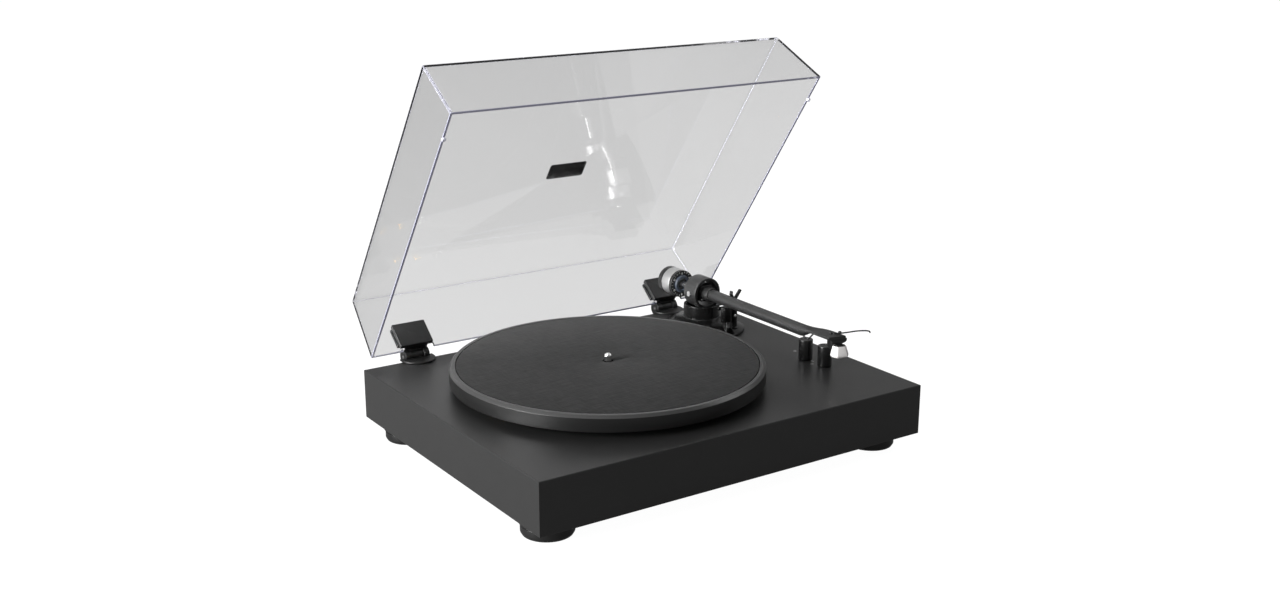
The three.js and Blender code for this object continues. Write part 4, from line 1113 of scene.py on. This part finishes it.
# %% Sockets
SOCKET_Z = -25.0
PANEL_BACK = DEPTH + 0.25
block_front_y = PANEL_BACK - 0.25
jack_x = {"left": 112.0, "right": 134.0}
jack_block = slab(box_outline(jack_x["left"] - 9, jack_x["right"] + 9, SOCKET_Z - 8, SOCKET_Z + 7, 1),
                  block_front_y - 12, block_front_y - 1, axis="y", edge=0.3)
piece("jack_block", jack_block, moulded, "base", ["signal_jacks"])
for side, ring_finish in (("left", white_ring), ("right", red_ring)):
    centre = (jack_x[side], block_front_y, SOCKET_Z)
    barrel = [(2.2, -3), (4.1, -3), (4.1, 9.25, 0.3), (2.2, 9.25, 0.3)]
    insulator = [(4.2, -1.2), (5.8, -1.2), (5.8, 1.25, 0.3), (4.2, 1.25, 0.2)]
    piece(f"jack_barrel_{side}", turned(rounded(barrel, 0.1, True), centre, "y", 48, True), gold, "base")
    piece(f"jack_ring_{side}", turned(rounded(insulator, 0.1, True), centre, "y", 48, True), ring_finish, "base")

# %% Earth post and inlet
POST_X = 158.0
INLET_X = 190.0
stud = turned(rounded([(0, -8), (2, -8), (2, 2.5), (3.2, 2.5), (3.2, 4.2), (0, 4.2)], 0.1),
              (POST_X, PANEL_BACK, SOCKET_Z), "y", 32)
nut = slab(ridged(circle(4.6, 240, (POST_X, SOCKET_Z)), 0.25, 30), PANEL_BACK + 4.1, PANEL_BACK + 9.4, axis="y",
           edge=0.4)
piece("earth_nut", together(stud, nut), steel, "base", ["ground_post"], sharp=50)
body = slab(box_outline(INLET_X - 7, INLET_X + 7, SOCKET_Z - 7, SOCKET_Z + 7, 1), block_front_y - 13,
            block_front_y - 1, axis="y")
collar_ring = turned(rounded([(3.2, -8), (4.9, -8), (4.9, 3.2, 0.3), (3.2, 3.2, 0.2)], 0.1, True),
                     (INLET_X, block_front_y, SOCKET_Z), "y", 48, True)
piece("inlet_body", together(body, collar_ring), moulded, "base", ["power_inlet"])
inlet_pin = turned(rounded([(0, -7), (1.1, -7), (1.1, 1.5, 0.4), (0, 1.5)], 0.1),
                   (INLET_X, block_front_y, SOCKET_Z), "y", 24)
piece("inlet_pin", inlet_pin, steel, "base")

# %% [markdown]
# ## Dust cover
#
# The cover is a shallow box of clear sheet whose walls lean in towards its top. It is made as it lies when
# it is shut, in a frame whose y runs forwards from the back of its rim, and every point is then turned about
# the hinge. One row of outlines runs from the top's middle down the outside, under the rim and up the inside,
# so the sheet has its real thickness and light bends in it as it should.

# %% The cover's own frame
LID_OPEN = math.radians(55)
RIM_Y = 332.25
RIM_Z = 2.5
HINGE = joint_place("lid_hinge")


def lid_deck(points):
    """From the cover's frame to the deck: laid over the deck, then turned about the hinge's axis."""
    x, y, z = np.asarray(points, float).T
    back, up = y + RIM_Y - HINGE[1], z + RIM_Z - HINGE[2]
    turned_back = back * math.cos(LID_OPEN) + up * math.sin(LID_OPEN)
    turned_up = -back * math.sin(LID_OPEN) + up * math.cos(LID_OPEN)
    return np.stack([x, HINGE[1] + turned_back, HINGE[2] + turned_up], axis=1)


def lid_placed(points):
    """From the cover's frame to metres."""
    return placed(lid_deck(points))


print("hinge at", HINGE.round(2))

# %% Cover shell
COVER_HEIGHT = 69.0
COVER_WIDTH = 403.5
COVER_DEPTH = 325.0
SHEET = 2.7
LEAN_SIDE = 5.7
LEAN_FRONT = 8.4
LEAN_BACK = 5.9
COVER_X = (WIDTH - COVER_WIDTH) / 2
CORNER_RADIUS = 1.4
FOLD = 1.2                # radius of the bend between the walls and the top, outside


def cover_outline(inset, height):
    """The outline at a height above the rim. Each wall has leaned in by its share of the height."""
    lean = height / COVER_HEIGHT
    flat = box_outline(COVER_X + LEAN_SIDE * lean + inset, WIDTH - COVER_X - LEAN_SIDE * lean - inset,
                       -COVER_DEPTH + LEAN_FRONT * lean + inset, -LEAN_BACK * lean - inset,
                       max(CORNER_RADIUS - inset, 0.6), steps=6)
    return np.column_stack([flat, np.full(len(flat), height)])


def cover_rows(inset, top, fold):
    """Outlines from the top's edge down to the rim: a quarter circle of radius fold, then the wall."""
    turn = np.linspace(0, np.pi / 2, 7)
    bend = [cover_outline(inset + fold * (1 - math.sin(a)), top - fold * (1 - math.cos(a))) for a in turn]
    return bend + [cover_outline(inset, height) for height in np.linspace(top - fold, 0.3, 6)[1:]]


outside = cover_rows(0, COVER_HEIGHT, FOLD)
inside = cover_rows(SHEET, COVER_HEIGHT - SHEET, 0.6)
rim = [cover_outline(0.3, 0), cover_outline(SHEET - 0.3, 0)]
rings = outside + rim + inside[::-1]
shell_faces = capped_grid(len(rings), len(rings[0]))
cover = piece("clear_cover", (np.concatenate(rings), shell_faces), acrylic, "lid",
              ["dust_cover"], to_frame=lid_placed)

# %% Openings for the hinges
HINGE_X = (58.0, 362.0)
openings = [box_shape(x - 15, x + 18.5, -8, 3, -1, 22, 0.1, 0.02) for x in HINGE_X]
carve(cover, *openings, to_frame=lid_placed)

# %% Violet edges and pale folds: painted light in the clear sheet
# The sawn edge's cloudy pale violet is partly painted light carried along the sheet; the bends' cloudy grey is a
# painted highlight.
cover.data.materials.append(acrylic_edge_painted_glow)
cover.data.materials.append(acrylic_fold_painted_highlight)
RIM_HEIGHT = 0.32         # faces lower than this are the sawn edge
BENT = 0.2                # a bend's normal has two parts greater than this


def lid_turned(vectors):
    """Vectors as they lie when the cover is shut, one row each."""
    x, back, up = np.asarray(vectors).T
    return np.stack([x, back * math.cos(LID_OPEN) - up * math.sin(LID_OPEN),
                     back * math.sin(LID_OPEN) + up * math.cos(LID_OPEN)], axis=1)


centres = np.array([polygon.center[:] for polygon in cover.data.polygons])
own_up = lid_turned((centres - CORNER) * 1000 - [0, HINGE[1], HINGE[2]])[:, 2]
on_rim = own_up + HINGE[2] - RIM_Z < RIM_HEIGHT
own_normals = lid_turned([polygon.normal[:] for polygon in cover.data.polygons])
bent = (np.abs(own_normals) > BENT).sum(axis=1) > 1
cover.data.polygons.foreach_set("material_index", np.where(on_rim, 1, np.where(bent, 2, 0)).tolist())
print("edge faces:", int(on_rim.sum()), "fold faces:", int((bent & ~on_rim).sum()))

# %% Badge and stops
plate = slab(box_outline(191, 233, -170, -150.5, 2.2), COVER_HEIGHT + 0.1, COVER_HEIGHT + 0.8, edge=0.2)
piece("plain_badge", plate, badge_gloss, "lid", ["badge"], to_frame=lid_placed)
stop_profile = rounded([(0, -2.2), (1.6, -2.2, 0.4), (2.2, -1.6, 0.5), (2.2, -0.1), (0, -0.1)], 0.1)
for side, x in (("left", COVER_X + SHEET / 2), ("right", WIDTH - COVER_X - SHEET / 2)):
    piece(f"stop_{side}", turned(stop_profile, (x, -COVER_DEPTH + 30, 0), segments=32), soft_stop, "lid",
          [f"bumper_{side}"], to_frame=lid_placed)

# %% [markdown]
# ## Hinges
#
# Each hinge has a clamp that grips the cover's back wall and a fixed half with a round-nosed flange on the
# deck. The clamp's jaws lean with the wall, so they are flat slabs that are sheared by the wall's lean. Small
# round edges catch the light, and are most of what shows on such black parts.

# %% Clamps
KNUCKLE_RADIUS = 6.0
KNUCKLE_HALF = 6.8
AXIS_Y = HINGE[1] - RIM_Y
AXIS_Z = HINGE[2] - RIM_Z
JAW_INSIDE = -SHEET - 0.4
JAW_THICKNESS = 4.4


def leaning(shape):
    """Moves each point back by the wall's lean at its height."""
    points, faces = shape
    points = points.copy()
    points[:, 1] -= LEAN_BACK * points[:, 2] / COVER_HEIGHT
    return points, faces


for side, x in zip(("left", "right"), HINGE_X):
    inner_jaw = leaning(slab(box_outline(x - 18.5, x + 17, 2, 28.5, 1.0), JAW_INSIDE - JAW_THICKNESS, JAW_INSIDE,
                             axis="y", edge=0.7))
    outer_jaw = leaning(slab(box_outline(x - 18.5, x + 17, 7, 28, 1.0), 0.3, 3.3, axis="y", edge=0.6))
    web = slab(rounded([(-7.1, 2.4), (0.6, 2.4), (0.6, 12), (-8.1, 12)], 0.2, closed=True), x - 12, x + 12,
               axis="x", edge=0.3)
    neck_shape = slab(rounded([(AXIS_Y, AXIS_Z - 4), (AXIS_Y, AXIS_Z + 5.6), (1, 9), (1, 1.4)], 0.3, closed=True),
                      x - KNUCKLE_HALF, x + KNUCKLE_HALF, axis="x", edge=0.3)
    knuckle = turned(rounded([(2.25, -KNUCKLE_HALF), (KNUCKLE_RADIUS, -KNUCKLE_HALF, 0.5),
                              (KNUCKLE_RADIUS, KNUCKLE_HALF, 0.5), (2.25, KNUCKLE_HALF)], 0.2, closed=True),
                     (x, AXIS_Y, AXIS_Z), axis="x", segments=64, closed=True)
    piece(f"clamp_{side}", together(inner_jaw, outer_jaw, web, neck_shape, knuckle), hinge_plastic, "lid",
          [f"hinge_clamp_{side}"], to_frame=lid_placed)

# %% Fixed halves
FLANGE_RADIUS = 17.5
LUG_RADIUS = 7.4
nose_angle = np.linspace(np.pi, 2 * np.pi, 33)
lug_angle = np.radians(np.linspace(-66, 201.8, 33))
for side, x in zip(("left", "right"), HINGE_X):
    nose = np.stack([x + FLANGE_RADIUS * np.cos(nose_angle), DEPTH - 0.5 + FLANGE_RADIUS * np.sin(nose_angle)],
                    axis=1)
    flange_outline = np.concatenate([nose, [(x + FLANGE_RADIUS, DEPTH + 4), (x - FLANGE_RADIUS, DEPTH + 4)]])
    flange = slab(flange_outline, 0.25, 2.4, edge=0.6)
    leg = slab(box_outline(x - 14, x + 14, -36, 2.3, 1.5), DEPTH + 0.25, DEPTH + 4, axis="y", edge=0.5)
    lug_outline = np.concatenate([
        [(PANEL_BACK, -16), (HINGE[1] + 3, -16)],
        np.stack([HINGE[1] + LUG_RADIUS * np.cos(lug_angle), HINGE[2] + LUG_RADIUS * np.sin(lug_angle)], axis=1),
        [(PANEL_BACK, 0.25)],
    ])
    lugs = [slab(lug_outline, x + start, x + end, axis="x", edge=0.5)
            for start, end in ((-13, -KNUCKLE_HALF - 0.3), (KNUCKLE_HALF + 0.3, 13))]
    piece(f"hinge_foot_{side}", together(flange, leg, *lugs), hinge_plastic, "base",
          [f"hinge_base_{side}"])
